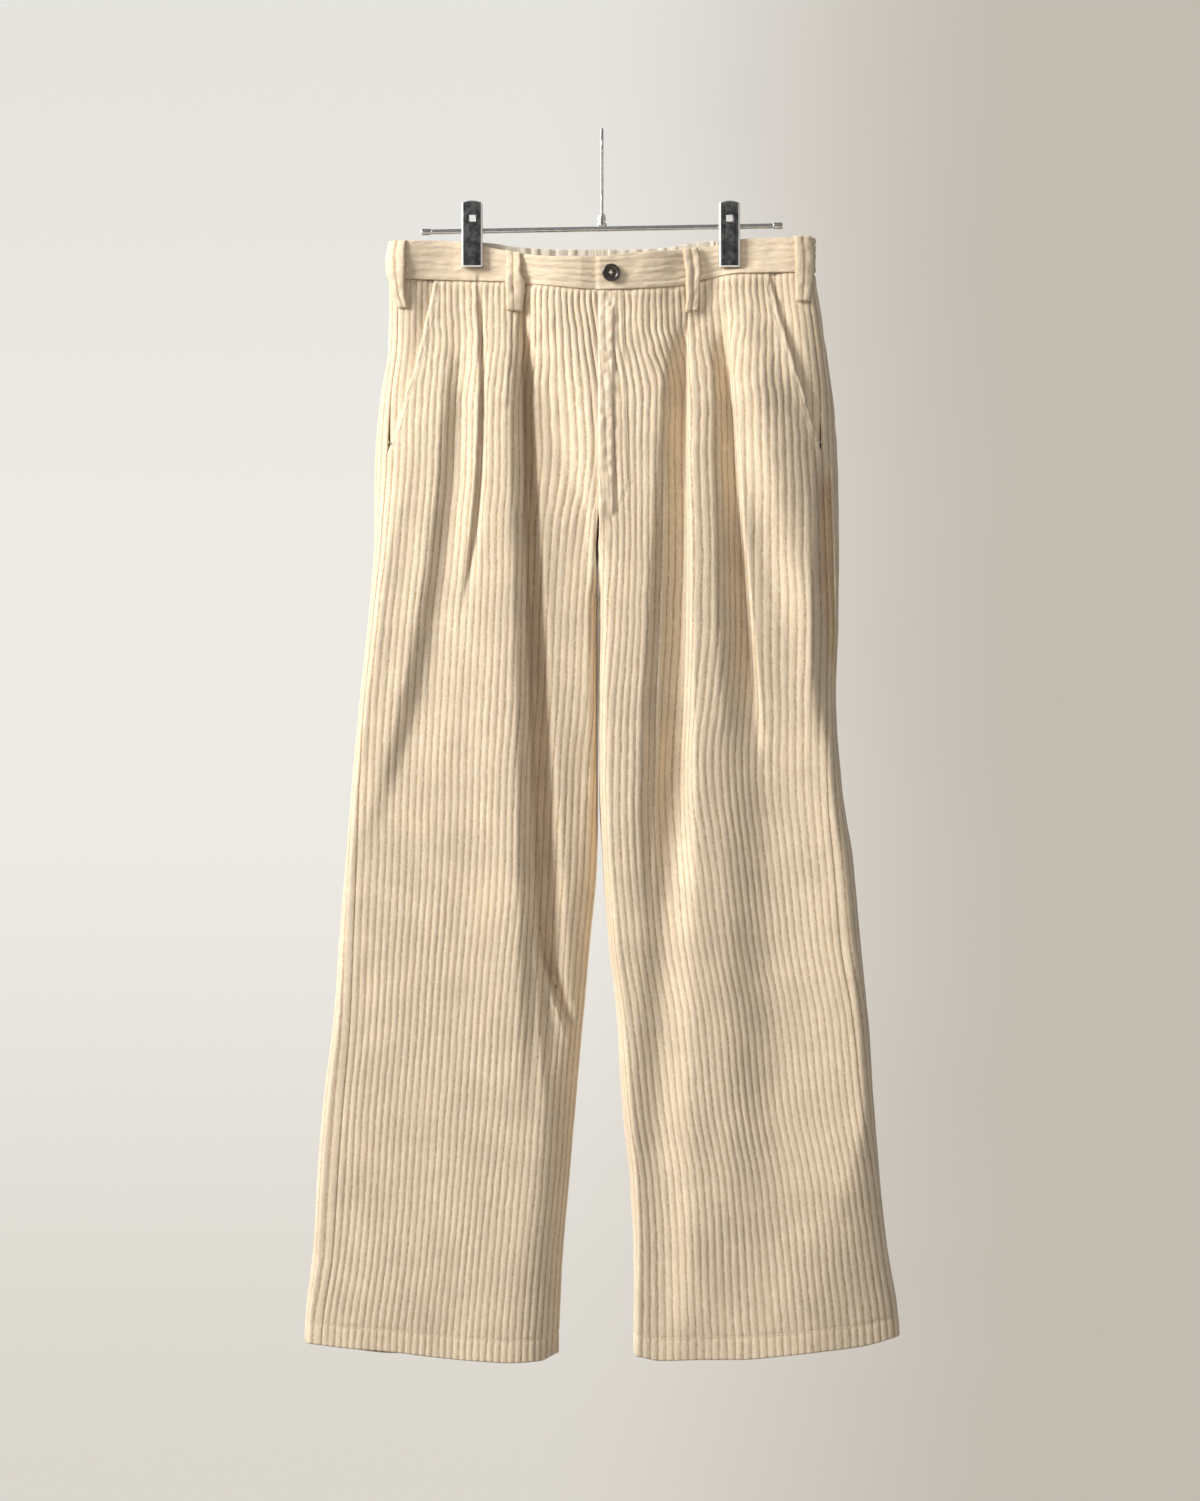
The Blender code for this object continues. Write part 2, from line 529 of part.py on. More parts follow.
def make_pocket_facing(side):
    """The strip of corduroy that shows outside the slanted pocket mouth, under the front's edge."""
    outer_rows, inner_rows = [], []
    for curve in curves[side]:
        if curve.z < Z_POCKET_END:
            break
        mouth = min(pocket_wale(curve), FRONT_WALES - POCKET_FOOT)
        first = mouth - POCKET_UNDERLAP
        down = (Z_WAIST - curve.z) / (Z_WAIST - Z_POCKET_END)
        last = FRONT_WALES - POCKET_TAPER * down
        fine, coarse = half_steps(first, last, 0.5), half_steps(first, last, 1)
        open_ribs = rib_height(fine) * smoothstep(mouth, mouth + POCKET_RIB_FADE, fine)
        for rows, wales, out in ((outer_rows, fine, open_ribs), (inner_rows, coarse, -WALL)):
            drop = (POCKET_DROP + POCKET_DEEPER * down) * (1 - smoothstep(mouth, mouth + POCKET_RISE, wales))
            rows.append(front_row(curve, wales, out - drop))
    name = "pocket_facing_" + SIDE_NAME[side]
    add_object(name, wall_mesh(name, outer_rows, inner_rows), CREAM)


# ---- waistband -------------------------------------------------------------------------------------
def band_rows(levels, wall, make_points):
    """Rows of a waistband sheet from its top edge down: the ribbed outside, or the plain inside of a wall.

    make_points(curves by side, out) gives one row's keys and points.
    """
    rows = []
    for level in levels:
        z = Z_BAND_TOP + (Z_WAIST + SEAM_GAP / 2 - Z_BAND_TOP) * level / BAND_WALES
        out = BAND_PROUD - wall if wall else BAND_PROUD + rib_height(level)
        pair = {side: section_curve(side, z) for side in (RIGHT, LEFT)}
        wales, points = make_points(pair, out)
        rows.append(Row(level, wales, points))
    return rows


def make_front_band(side):
    """One front waistband; the right one runs on under the left one, behind the button."""
    columns = np.linspace(0.0, 1.0, BAND_COLUMNS)
    under_x = np.array(FLY_UNDER_X) if side == RIGHT else np.array([])
    start = FLY_TURN if side == RIGHT else 0.0

    def make_points(pair, out):
        curve = pair[side]
        at = start + (curve.seam - SEAM_GAP / 2 - start) * columns
        x, y = curve_point(curve, at, out)
        if side == LEFT:
            x[0] = FLY_EDGE_X
        under_y = [front_y(LEFT if ux > X_MID else RIGHT, np.array([ux]), curve.z)[0] for ux in under_x]
        x = np.concatenate((under_x, x))
        y = np.concatenate((np.array(under_y) - out + FLY_DROP, y))
        z = lifted_z(curve.z, x, True)
        keys = np.concatenate((-(under_x - X_MID + FLY_TURN) / curve.seam, columns))
        return keys, np.stack((x, y, z), axis=1)

    outer = band_rows(half_steps(0, BAND_WALES, 0.5), 0.0, make_points)
    inner = band_rows(half_steps(0, BAND_WALES, 1), BAND_WALL, make_points)
    name = "waistband_front_" + SIDE_NAME[side]
    add_object(name, wall_mesh(name, outer, inner), CREAM)


def back_band_points(pair, wales, out_at):
    """Points right round the back from outseam to outseam; wales counts from the left outseam."""
    points = []
    for side, part in ((LEFT, wales[wales <= BACK_WALES]), (RIGHT, wales[wales > BACK_WALES])):
        curve = pair[side]
        count = part if side == LEFT else 2 * BACK_WALES - part
        start = curve.seam + SEAM_GAP / 2
        at = start + (curve.total - start) * count / BACK_WALES
        x, y = curve_point(curve, at, out_at(count))
        share = 1 - smoothstep(curve.seam, curve.seam + SEAM_SHARE, at)
        z = lifted_z(curve.z, x, True) * share + lifted_z(curve.z, x, False) * (1 - share)
        points.append(np.stack((x, y, z), axis=1))
    return np.concatenate(points)


def make_back_band():
    """The elastic back of the waistband, gathered over a plain inside."""
    fine = np.arange(0, 2 * BACK_WALES + 1)
    coarse = fine[::2]

    def gathered(pair, out):
        return fine, back_band_points(pair, fine, lambda count: out + gather_wave(count, Z_WAIST))

    def plain(pair, out):
        return coarse, back_band_points(pair, coarse, lambda count: out)

    outer = band_rows(half_steps(0, BAND_WALES, 0.5), 0.0, gathered)
    inner = band_rows((0, BAND_WALES / 2, BAND_WALES), ELASTIC_WALL, plain)
    add_object("waistband_back", wall_mesh("waistband_back", outer, inner), CREAM)


def make_back_facing():
    """The plain cotton inside of the elastic back, gathered on its free face."""
    fine = np.arange(FACING_START, 2 * BACK_WALES + 1 - FACING_START)
    coarse = fine[::2]
    lining = BAND_PROUD - ELASTIC_WALL - SEAM_GAP

    def wavy(pair, out):
        return fine, back_band_points(
            pair, fine, lambda wales: lining - FACING_WALL - gather_wave(wales, Z_WAIST) * FACING_GATHER)

    def plain(pair, out):
        return coarse, back_band_points(pair, coarse, lambda wales: lining)

    inside = band_rows((FACING_TOP, BAND_WALES), ELASTIC_WALL, wavy)
    backing = band_rows((FACING_TOP, BAND_WALES), ELASTIC_WALL, plain)
    add_object("waistband_back_facing", wall_mesh("waistband_back_facing", inside, backing), FACING_CREAM)


# ---- belt loops --------------------------------------------------------------------------------------
def loop_section(side, centre_x, is_front, z, across, out):
    """Points across a belt loop at one of the garment's own rows."""
    curve = section_curve(side, z)
    half = curve.length <= curve.total / 2 if is_front else curve.length > curve.total / 2
    order = 1 if is_front else -1
    middle = np.interp(order * side * centre_x, order * side * curve.x[half], curve.length[half])
    x, y = curve_point(curve, middle + across * LOOP_WIDTH / 2, out)
    return np.stack((x, y, lifted_z(z, x, is_front)), axis=1)


def make_belt_loop(name, side, centre_x, is_front):
    """A strip of two wales that stands a little off the waistband and runs on below its seam."""
    z_top, z_bottom = Z_BAND_TOP + LOOP_RISE, Z_WAIST - LOOP_BELOW_SEAM
    outer_rows, inner_rows = [], []
    clear = BAND_PROUD + RIB + SEAM_GAP + (0 if is_front else GATHER)
    across = np.linspace(-1.0, 1.0, LOOP_COLUMNS)
    for down in np.linspace(0.0, 1.0, LOOP_ROWS):
        z = z_top + (z_bottom - z_top) * down
        off = clear + LOOP_ARCH * math.sin(math.pi * down)
        below = (Z_WAIST - z) / (Z_WAIST - PANEL_ROWS[1])
        for rows, part, out in ((outer_rows, across, off + LOOP_WALL + rib_height(across)),
                                (inner_rows, across, off)):
            if below <= 0:
                points = loop_section(side, centre_x, is_front, z, part, out)
            else:
                points = (loop_section(side, centre_x, is_front, Z_WAIST, part, out) * (1 - below)
                          + loop_section(side, centre_x, is_front, PANEL_ROWS[1], part, out) * below)
            rows.append(Row(down, part, points))
    add_object(name, wall_mesh(name, outer_rows, inner_rows), CREAM)


# ---- hard pieces ---------------------------------------------------------------------------------------
def cylinder(name, radius, length, sides):
    mesh = bpy.data.meshes.new(name)
    shell = bmesh.new()
    bmesh.ops.create_cone(shell, cap_ends=True, segments=sides, radius1=radius * MM, radius2=radius * MM,
                          depth=length * MM)
    shell.to_mesh(mesh)
    shell.free()
    mesh.shade_smooth()
    mesh.set_sharp_from_angle(angle=math.radians(40))
    return mesh


def box(name, size):
    mesh = bpy.data.meshes.new(name)
    shell = bmesh.new()
    bmesh.ops.create_cube(shell, size=1.0, matrix=Matrix.Diagonal((*[s * MM for s in size], 1.0)))
    shell.to_mesh(mesh)
    shell.free()
    return mesh


def place(piece, x, y, z, rotation=(0.0, 0.0, 0.0)):
    piece.location = Vector((x, y, z)) * MM
    piece.rotation_euler = [math.radians(angle) for angle in rotation]
    return piece


def cutter(name, mesh):
    piece = bpy.data.objects.new(name, mesh)
    piece.hide_render = True
    piece.display_type = "WIRE"
    cutters.objects.link(piece)
    return piece


def cut(piece, tool, operation="DIFFERENCE"):
    modifier = piece.modifiers.new(tool.name, "BOOLEAN")
    modifier.operation = operation
    modifier.solver = "EXACT"
    modifier.object = tool


def bar_tilt():
    return math.degrees(math.atan2(BAR_Z_LEFT_END - BAR_Z_RIGHT_END, 2 * BAR_HALF))


def bar_z(x):
    return (BAR_Z_LEFT_END + BAR_Z_RIGHT_END) / 2 + x * math.tan(math.radians(bar_tilt()))


def make_bar():
    rod = cylinder("hanger_bar", BAR_RADIUS, 2 * BAR_HALF, ROD_SIDES)
    bar = add_object("hanger_bar", rod, STEEL, ROD_ROUGHNESS, 1.0)
    place(bar, 0, BAR_Y, bar_z(0), (0, 90 - bar_tilt(), 0))
    for side in (RIGHT, LEFT):
        name = "hanger_cap_" + SIDE_NAME[side]
        cap = add_object(name, cylinder(name, CAP_RADIUS, CAP_LENGTH, ROD_SIDES), STEEL, ROD_ROUGHNESS, 1.0)
        x = side * (BAR_HALF + SEAM_GAP + CAP_LENGTH / 2)
        place(cap, x, BAR_Y, bar_z(x), (0, 90 - bar_tilt(), 0))


def make_ferrule():
    sleeve = cylinder("hanger_ferrule", FERRULE_RADIUS, FERRULE_LENGTH, ROD_SIDES)
    ferrule = add_object("hanger_ferrule", sleeve, STEEL, ROD_ROUGHNESS, 1.0)
    bottom = bar_z(0) + BAR_RADIUS + SEAM_GAP
    place(ferrule, 0, BAR_Y, bottom + FERRULE_LENGTH / 2)
    through = cylinder("ferrule_bore", WIRE_RADIUS + SEAM_GAP, 2 * FERRULE_LENGTH, ROD_SIDES)
    bore = cutter("ferrule_bore", through)
    place(bore, 0, BAR_Y, bottom + FERRULE_LENGTH / 2)
    cut(ferrule, bore)


def hook_points():
    """The wire's middle line: up from the ferrule, forward round the rail and over it to the tip behind."""
    centre_z = WIRE_RADIUS - HOOK_RADIUS
    stem_bottom = bar_z(0) + BAR_RADIUS + 2 * SEAM_GAP
    arc = [(-HOOK_RADIUS * math.cos(a), centre_z + HOOK_RADIUS * math.sin(a))
           for a in np.radians(np.linspace(HOOK_START_ANGLE, 180 + HOOK_TIP_ANGLE, HOOK_STEPS))]
    neck_from, neck_to = (BAR_Y, NECK_Z), arc[0]
    neck = []
    for t in np.linspace(0.15, 0.85, NECK_STEPS):
        y = neck_from[0] + (neck_to[0] - neck_from[0]) * smoothstep(0.0, 1.0, t)
        neck.append((y, neck_from[1] + (neck_to[1] - neck_from[1]) * t))
    return [(BAR_Y, stem_bottom), (BAR_Y, STEM_Z), neck_from] + neck + arc


def make_hook():
    line = bpy.data.curves.new("hanger_hook", "CURVE")
    line.dimensions = "3D"
    line.bevel_depth = WIRE_RADIUS * MM
    line.bevel_resolution = WIRE_BEVEL
    line.use_fill_caps = True
    points = hook_points()
    spline = line.splines.new("POLY")
    spline.points.add(len(points) - 1)
    for point, (y, z) in zip(spline.points, points):
        point.co = (0.0, y * MM, z * MM, 1.0)
    add_object("hanger_hook", line, STEEL, WIRE_ROUGHNESS, 1.0)


def jaw_outline(width):
    """A low round top over straight sides, as x and z from the jaw's middle."""
    half, top = width / 2, CLIP_Z_TOP - CLIP_CROWN
    angles = np.radians(np.linspace(0, 180, CLIP_CROWN_STEPS))
    points = [(half * math.cos(a), top + CLIP_CROWN * math.sin(a)) for a in angles]
    return points + [(-half, CLIP_Z_BOTTOM), (half, CLIP_Z_BOTTOM)]


def extruded(name, outline, y_from, y_to):
    """A solid with the given outline in x and z between two values of y."""
    mesh = bpy.data.meshes.new(name)
    shell = bmesh.new()
    ring = [shell.verts.new(Vector((x, y_from, z)) * MM) for x, z in outline]
    face = shell.faces.new(ring)
    grown = bmesh.ops.extrude_face_region(shell, geom=[face])
    moved = [item for item in grown["geom"] if isinstance(item, bmesh.types.BMVert)]
    bmesh.ops.translate(shell, verts=moved, vec=(0, (y_to - y_from) * MM, 0))
    bmesh.ops.recalc_face_normals(shell, faces=shell.faces)
    shell.to_mesh(mesh)
    shell.free()
    return mesh


def make_jaw(side, is_front, face_y, width):
    """A clip jaw: a sheet with turned side edges that meet the cloth, and ears round the bar."""
    name = "clip_%s_%s" % ("front" if is_front else "back", SIDE_NAME[side])
    out = -1 if is_front else 1
    sheet_inside = face_y + out * CLIP_FLANGE
    sheet_outside = sheet_inside + out * CLIP_SHEET
    sheet = extruded(name, jaw_outline(width), sheet_inside, sheet_outside)
    jaw = add_object(name, sheet, STEEL, JAW_ROUGHNESS, 1.0)
    ear_end = BAR_Y - out * (BAR_RADIUS + CLIP_EAR_BEYOND)
    ear_start = sheet_inside + out * CLIP_SHEET / 2
    centre_z = bar_z(CLIP_X[side])
    flange_top = centre_z + CLIP_FLANGE_RISE
    solids = []
    for edge in (-1, 1):
        x = edge * (width - CLIP_SHEET) / 2
        flange = box(name + "_flange", (CLIP_SHEET, abs(ear_start - face_y), flange_top - CLIP_Z_BOTTOM))
        solids.append((flange, x, (face_y + ear_start) / 2, (flange_top + CLIP_Z_BOTTOM) / 2))
        ear = box(name + "_ear", (CLIP_SHEET, abs(ear_start - ear_end), CLIP_EAR_HEIGHT))
        solids.append((ear, x, (ear_start + ear_end) / 2, centre_z + CLIP_EAR_RISE))
    for n, (mesh, x, y, z) in enumerate(solids):
        piece = place(cutter("%s_add_%d" % (name, n), mesh), CLIP_X[side] + x, y, z)
        cut(jaw, piece, "UNION")
    bore = cutter(name + "_bore", cylinder(name + "_bore", BAR_RADIUS + SEAM_GAP, 3 * width, ROD_SIDES))
    place(bore, CLIP_X[side], BAR_Y, centre_z, (0, 90 - bar_tilt(), 0))
    window = cutter(name + "_window", box(name + "_window", (CLIP_HOLE[0], CLIP_HOLE_REACH, CLIP_HOLE[1])))
    place(window, CLIP_X[side], sheet_inside, CLIP_HOLE_Z)
    cut(jaw, bore)
    cut(jaw, window)
    place(jaw, CLIP_X[side], 0, 0)


def cloth_extent(x_low, x_high, z_low, is_front):
    """The foremost or rearmost y of the built cloth inside a strip, above z_low."""
    extreme = 0.0
    for name in ("waistband_front_right", "waistband_front_left", "waistband_back"):
        for vertex in bpy.data.objects[name].data.vertices:
            x, y, z = vertex.co / MM
            if x_low <= x <= x_high and z >= z_low:
                extreme = min(extreme, y) if is_front else max(extreme, y)
    return extreme


def make_clips():
    for side in (RIGHT, LEFT):
        reach = CLIP_WIDTH / 2 + CLIP_CLEAR_SIDE
        strip = (CLIP_X[side] - reach, CLIP_X[side] + reach, CLIP_Z_BOTTOM - CLIP_CLEAR_BELOW)
        make_jaw(side, True, cloth_extent(*strip, True) - SEAM_GAP, CLIP_WIDTH)
        make_jaw(side, False, cloth_extent(*strip, False) + SEAM_GAP, CLIP_INNER_WIDTH)


def make_button():
    """A four-hole button on the left waistband, just clear of its wales."""
    top, bottom, middle = (front_y(LEFT, np.array([BUTTON_X]), z)[0] for z in (Z_BAND_TOP, Z_WAIST, BUTTON_Z))
    lean = math.degrees(math.atan2(bottom - top, Z_BAND_TOP - Z_WAIST))
    face = middle - BAND_PROUD - RIB - 2 * SEAM_GAP
    disc = cylinder("button", BUTTON_RADIUS, BUTTON_THICKNESS, BUTTON_SIDES)
    button = add_object("button", disc, DARK_HORN, BUTTON_ROUGHNESS)
    z = float(lifted_z(BUTTON_Z, BUTTON_X, True))
    place(button, BUTTON_X, face - BUTTON_THICKNESS / 2, z, (90 + lean, 0, 0))
    for n in range(4):
        angle = math.radians(45 + 90 * n)
        drill = cylinder("button_hole", BUTTON_HOLE_RADIUS, 2 * BUTTON_RADIUS, BUTTON_HOLE_SIDES)
        hole = cutter("button_hole_%d" % n, drill)
        hole.parent = button
        place(hole, BUTTON_HOLE_SPREAD * math.cos(angle), BUTTON_HOLE_SPREAD * math.sin(angle), 0)
        cut(button, hole)


# ---- the whole ---------------------------------------------------------------------------------------
for old in list(bpy.data.objects):
    bpy.data.objects.remove(old, do_unlink=True)
parts = bpy.data.collections.new(COLLECTION)
cutters = bpy.data.collections.new("cutters")
bpy.context.scene.collection.children.link(parts)
bpy.context.scene.collection.children.link(cutters)

curves = {side: [section_curve(side, z) for z in PANEL_ROWS] for side in (RIGHT, LEFT)}
for half in (RIGHT, LEFT):
    make_front(half)
    make_back(half)
    make_pocket_facing(half)
    make_front_band(half)
make_back_band()
make_back_facing()
for loop_name, loop_side, loop_x in FRONT_LOOPS:
    make_belt_loop(loop_name, loop_side, loop_side * loop_x, True)
make_belt_loop("belt_loop_back", LEFT, LOOP_BACK_X, False)
make_bar()
make_ferrule()
make_hook()
make_clips()
make_button()
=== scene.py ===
"""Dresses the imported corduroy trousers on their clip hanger: fine cloth, stitching, trim, materials, light.

Sizes are millimetres until a mesh is made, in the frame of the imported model. +Z is up and -Y is the front.
The wearer's right side is at -X and the wearer's left side at +X.
"""

import math
from collections import namedtuple

import bmesh
import bpy
import numpy as np
from mathutils import Matrix, Vector


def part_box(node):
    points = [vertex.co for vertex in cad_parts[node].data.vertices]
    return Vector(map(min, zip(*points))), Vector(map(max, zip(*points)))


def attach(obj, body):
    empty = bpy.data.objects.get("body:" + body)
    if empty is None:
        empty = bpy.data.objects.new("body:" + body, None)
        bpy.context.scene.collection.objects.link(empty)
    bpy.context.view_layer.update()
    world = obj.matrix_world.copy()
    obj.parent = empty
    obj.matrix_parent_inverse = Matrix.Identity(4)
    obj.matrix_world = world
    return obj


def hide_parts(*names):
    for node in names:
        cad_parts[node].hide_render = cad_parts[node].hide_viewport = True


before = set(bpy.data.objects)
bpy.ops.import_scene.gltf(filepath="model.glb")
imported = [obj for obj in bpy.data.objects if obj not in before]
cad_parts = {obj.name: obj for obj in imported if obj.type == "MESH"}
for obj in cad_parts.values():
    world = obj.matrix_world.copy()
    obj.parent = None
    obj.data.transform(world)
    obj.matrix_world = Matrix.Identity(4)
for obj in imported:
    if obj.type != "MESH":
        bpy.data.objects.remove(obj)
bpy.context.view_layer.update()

MM = 0.001
SIDES = RIGHT, LEFT = -1, 1
SIDE_NAME = {RIGHT: "right", LEFT: "left"}


def link(thing):
    bpy.context.scene.collection.objects.link(thing)


# ---- camera: the photograph's frame, square on to the front, in metres
CAMERA_DISTANCE, CAMERA_X, CAMERA_Z = 3.6, -0.0019, -0.5761
VIEW_HEIGHT = 1.396  # of the garment's middle plane that the frame shows
SENSOR = 36.0

camera_data = bpy.data.cameras.new("camera")
camera_data.sensor_width = SENSOR
camera_data.lens = SENSOR * CAMERA_DISTANCE / VIEW_HEIGHT
camera = bpy.data.objects.new("camera", camera_data)
camera.location = (CAMERA_X, -CAMERA_DISTANCE, CAMERA_Z)
camera.rotation_euler = (math.radians(90), 0, 0)
link(camera)
bpy.context.scene.camera = camera

# ---- cloth
SEAM_GAP = 0.3  # clear space between two pieces of cloth
RIB, FINE_RIB, BAND_RIB = 1.3, 0.62, 0.62  # height of a wale: in the solids, on the panels, on the waistband
RIB_POWER = 0.42  # under 1: rounder wales with narrow grooves
WALL, HEM_WALL, BAND_WALL = 1.6, 2.6, 2.0  # a leg panel's cloth, and where it lies double
ELASTIC_WALL = 3.6  # the waistband's back, with the elastic inside it
BAND_PROUD = 0.8  # how far the waistband stands out from the panels under it
FRONT_WALES, BACK_WALES, BAND_WALES = 36, 36, 5  # across a panel, and up the waistband, cut crosswise
GATHER, GATHER_WALES, GATHER_FADE = 1.5, 2, 90.0  # half depth, back wales to each, reach down from the seam
FACING_WALL, FACING_GATHER = 2.2, 0.7  # cotton inside the elastic back: mean wall, share of the gathers
FACING_START, FACING_TOP = 6, 0.02  # back wales from outseam to end, band wales from top to edge
FACING_PUFFS = 0.62  # gathers of the facing for each back wale
EDGE_ROLL, LOOP_ROLL = 1.3, 2.3  # radius of a folded edge, and of a belt loop's
WAIST_RIB = {RIGHT: (1.6, 0.45), LEFT: (0.55, 0.45)}  # more rib under the waist, by the fly and far off

# ---- heights on the flat cloth
Z_BAND_TOP, Z_FLAT_BAND, Z_WAIST = -104.0, -124.0, -140.0  # no folds above the second; the waist seam
BAND_PITCH = (Z_BAND_TOP - Z_WAIST) / BAND_WALES  # between the waistband's wales
Z_POCKET_END = -300.0  # where the slanted pocket mouth reaches the outseam
Z_RISE_FRONT, Z_RISE_BACK, Z_CROTCH = -330.0, -290.0, -432.0  # the middle seams turn under from the first two
Z_HEM = -1140.0
HEM_STITCH = 20.5  # from the hem's edge to its stitching

# ---- widths
X_MID = -3.7  # centre front and centre back seams
LEG_CLEAR = 0.1  # the legs' inner edges stand this far off the line they share
INNER_ARC = 0.807  # extra length of the front's inner rounding, in depths of the front
ROUND_FRONT, ROUND_BACK = (0.42, 0.28), (1.10, 0.80)  # reach of the outer and inner rounding, in depths
ROUND_HIP = 1.2  # the front's outer edge is rounder by this at the hips
ROUND_LOW = {RIGHT: (-0.2, -430, -640), LEFT: (4.2, -900, -1140)}  # and by this further down, between heights
ROUND_KNEE, ROUND_CUFF = 1.0, 0.6  # the right inner edge is rounder below the knee and at the hem
ROUND_LESS = 0.7  # the left one's is sharper by this share at the hem
INSEAM_SHIFT, Z_SHIFT_TOP, Z_SHIFT_END = 9.0, -600.0, -1000.0  # the left inseam rolls on to the front
POCKET_X_TOP = 155.0  # the pocket mouth's distance from the middle at the waist seam
POCKET_STITCH = 6.5  # from the pocket mouth to its stitching
POCKET_GAPE = {RIGHT: 0.6, LEFT: 2.6}  # how far the mouth's edge stands off half way down
POCKET_UNDERLAP, POCKET_FOOT = 1.6, 0.4  # wales of facing under the front panel, and that show at its foot
POCKET_DROP, POCKET_DEEPER = 2.3, 0.9  # the facing lies inside the front, deeper at its foot
POCKET_TAPER = 0.05  # wales by which the facing draws back from the outseam at its foot
POCKET_RISE = 2.5  # wales past the mouth in which it comes up to the front's face
POCKET_RIB = 0.55  # share of the front's wale height
FLY_EDGE_X = -5.6  # the left waistband ends here, over the right one
FLY_UNDER_X = (20.0, -8.5)  # the right waistband's reach under the left one
FLY_TURN, FLY_DROP = 15.0, 4.0  # it starts to dip this far from the middle, and by this
FLY_STITCH = ((-150, 19.5), (-300, 24.0), (-324, 25.5), (-345, 18.0), (-366, 6.5))  # height, x
Z_FLY_END = FLY_STITCH[-1][0]
FLY_PROUD = 0.5  # the fly's facing lifts the left front inside its stitching
FLY_STRIP = (10.5, 18.5)  # x at which its raised edge strip ends, and where the hollow beside it has ended
FLY_STRIP_PROUD, FLY_HOLLOW, FLY_STRIP_RIB = 1.7, 0.9, 0.45  # the last is a share of the wales' height
Z_CREASE = -375.0  # the crease beside the fly is deepest here
# How many wales the middle seam draws in at each height, and over how many the drawing fades.
PULL = {RIGHT: ((-150, 0), (-200, 1.0), (-250, 2.1), (-290, 2.3), (-340, 1.5), (-390, 0.6), (-450, 0)),
        LEFT: ((-150, 0), (-200, -0.3), (-290, -1.2), (-380, -2.0), (-440, -1.8), (-560, -0.7), (-680, 0))}
PULL_REACH = 10.0
PRESS_REACH, Z_PRESS_END, Z_PRESS_GONE = 7.0, -590.0, -650.0  # where the legs press each other flat
# Half width of the raised V round the fly at each height, and the width of the slope at its sides.
FLY_HOLD = {RIGHT: ((-146, 66.0), (-185, 49.0), (-250, 25.0), (-306, 19.0), (-362, 6.0), (Z_CROTCH, 6.0)),
            LEFT: ((-146, 80.0), (-180, 73.0), (-241, 55.0), (-278, 40.0), (-315, 26.0), (-352, 12.0),
                   (Z_CROTCH, 8.0))}
HOLD_EDGE = {RIGHT: 46.0, LEFT: 20.0}

# One row for each height. out, in: x of the side fold and of the inner edge. seam: how far the outseam
# lies in from the side fold, on the front. front, back: depth of the hollow form before and behind y = 0.
Section = namedtuple("Section", "z right_out left_out right_in left_in right_seam left_seam front back")
SECTIONS = [Section(*row) for row in (
    (-98, 196.5, 197.0, X_MID, X_MID, 7.0, 7.0, 25, 6),
    (-140, 197.5, 198.0, X_MID, X_MID, 7.0, 7.0, 21, 8),
    (-195, 199.0, 206.5, X_MID, X_MID, 8.0, 9.0, 25, 20),
    (-250, 206.9, 215.3, X_MID, X_MID, 10.0, 12.0, 29, 30),
    (-306, 212.0, 219.9, X_MID, X_MID, 12.0, 15.0, 32, 36),
    (-380, 213.0, 221.3, X_MID, X_MID, 8.0, 13.0, 34, 38),
    (-455, 218.6, 220.8, X_MID, X_MID, 6.0, 10.0, 34, 37),
    (-530, 226.9, 218.5, X_MID, X_MID, 6.5, 9.0, 33, 34),
    (-604, 233.4, 223.2, X_MID, -3.0, 8.5, 14.0, 32, 32),
    (-678, 239.0, 233.9, -4.8, 0.6, 11.5, 19.0, 31, 31),
    (-752, 244.6, 241.3, -11.0, 6.2, 14.0, 20.0, 31, 30),
    (-827, 250.2, 248.3, -17.7, 14.4, 16.5, 15.0, 30, 29),
    (-901, 259.5, 253.0, -24.2, 18.6, 19.5, 12.0, 29, 28),
    (-976, 266.0, 259.9, -30.7, 26.5, 20.5, 7.0, 28, 27),
    (-1050, 269.7, 266.9, -36.9, 30.1, 19.5, 5.0, 27, 26),
    (-1124, 276.7, 276.5, -40.0, 30.1, 17.0, 5.0, 26, 25),
    (-1150, 277.5, 278.5, -40.5, 30.0, 16.5, 5.0, 26, 25))]

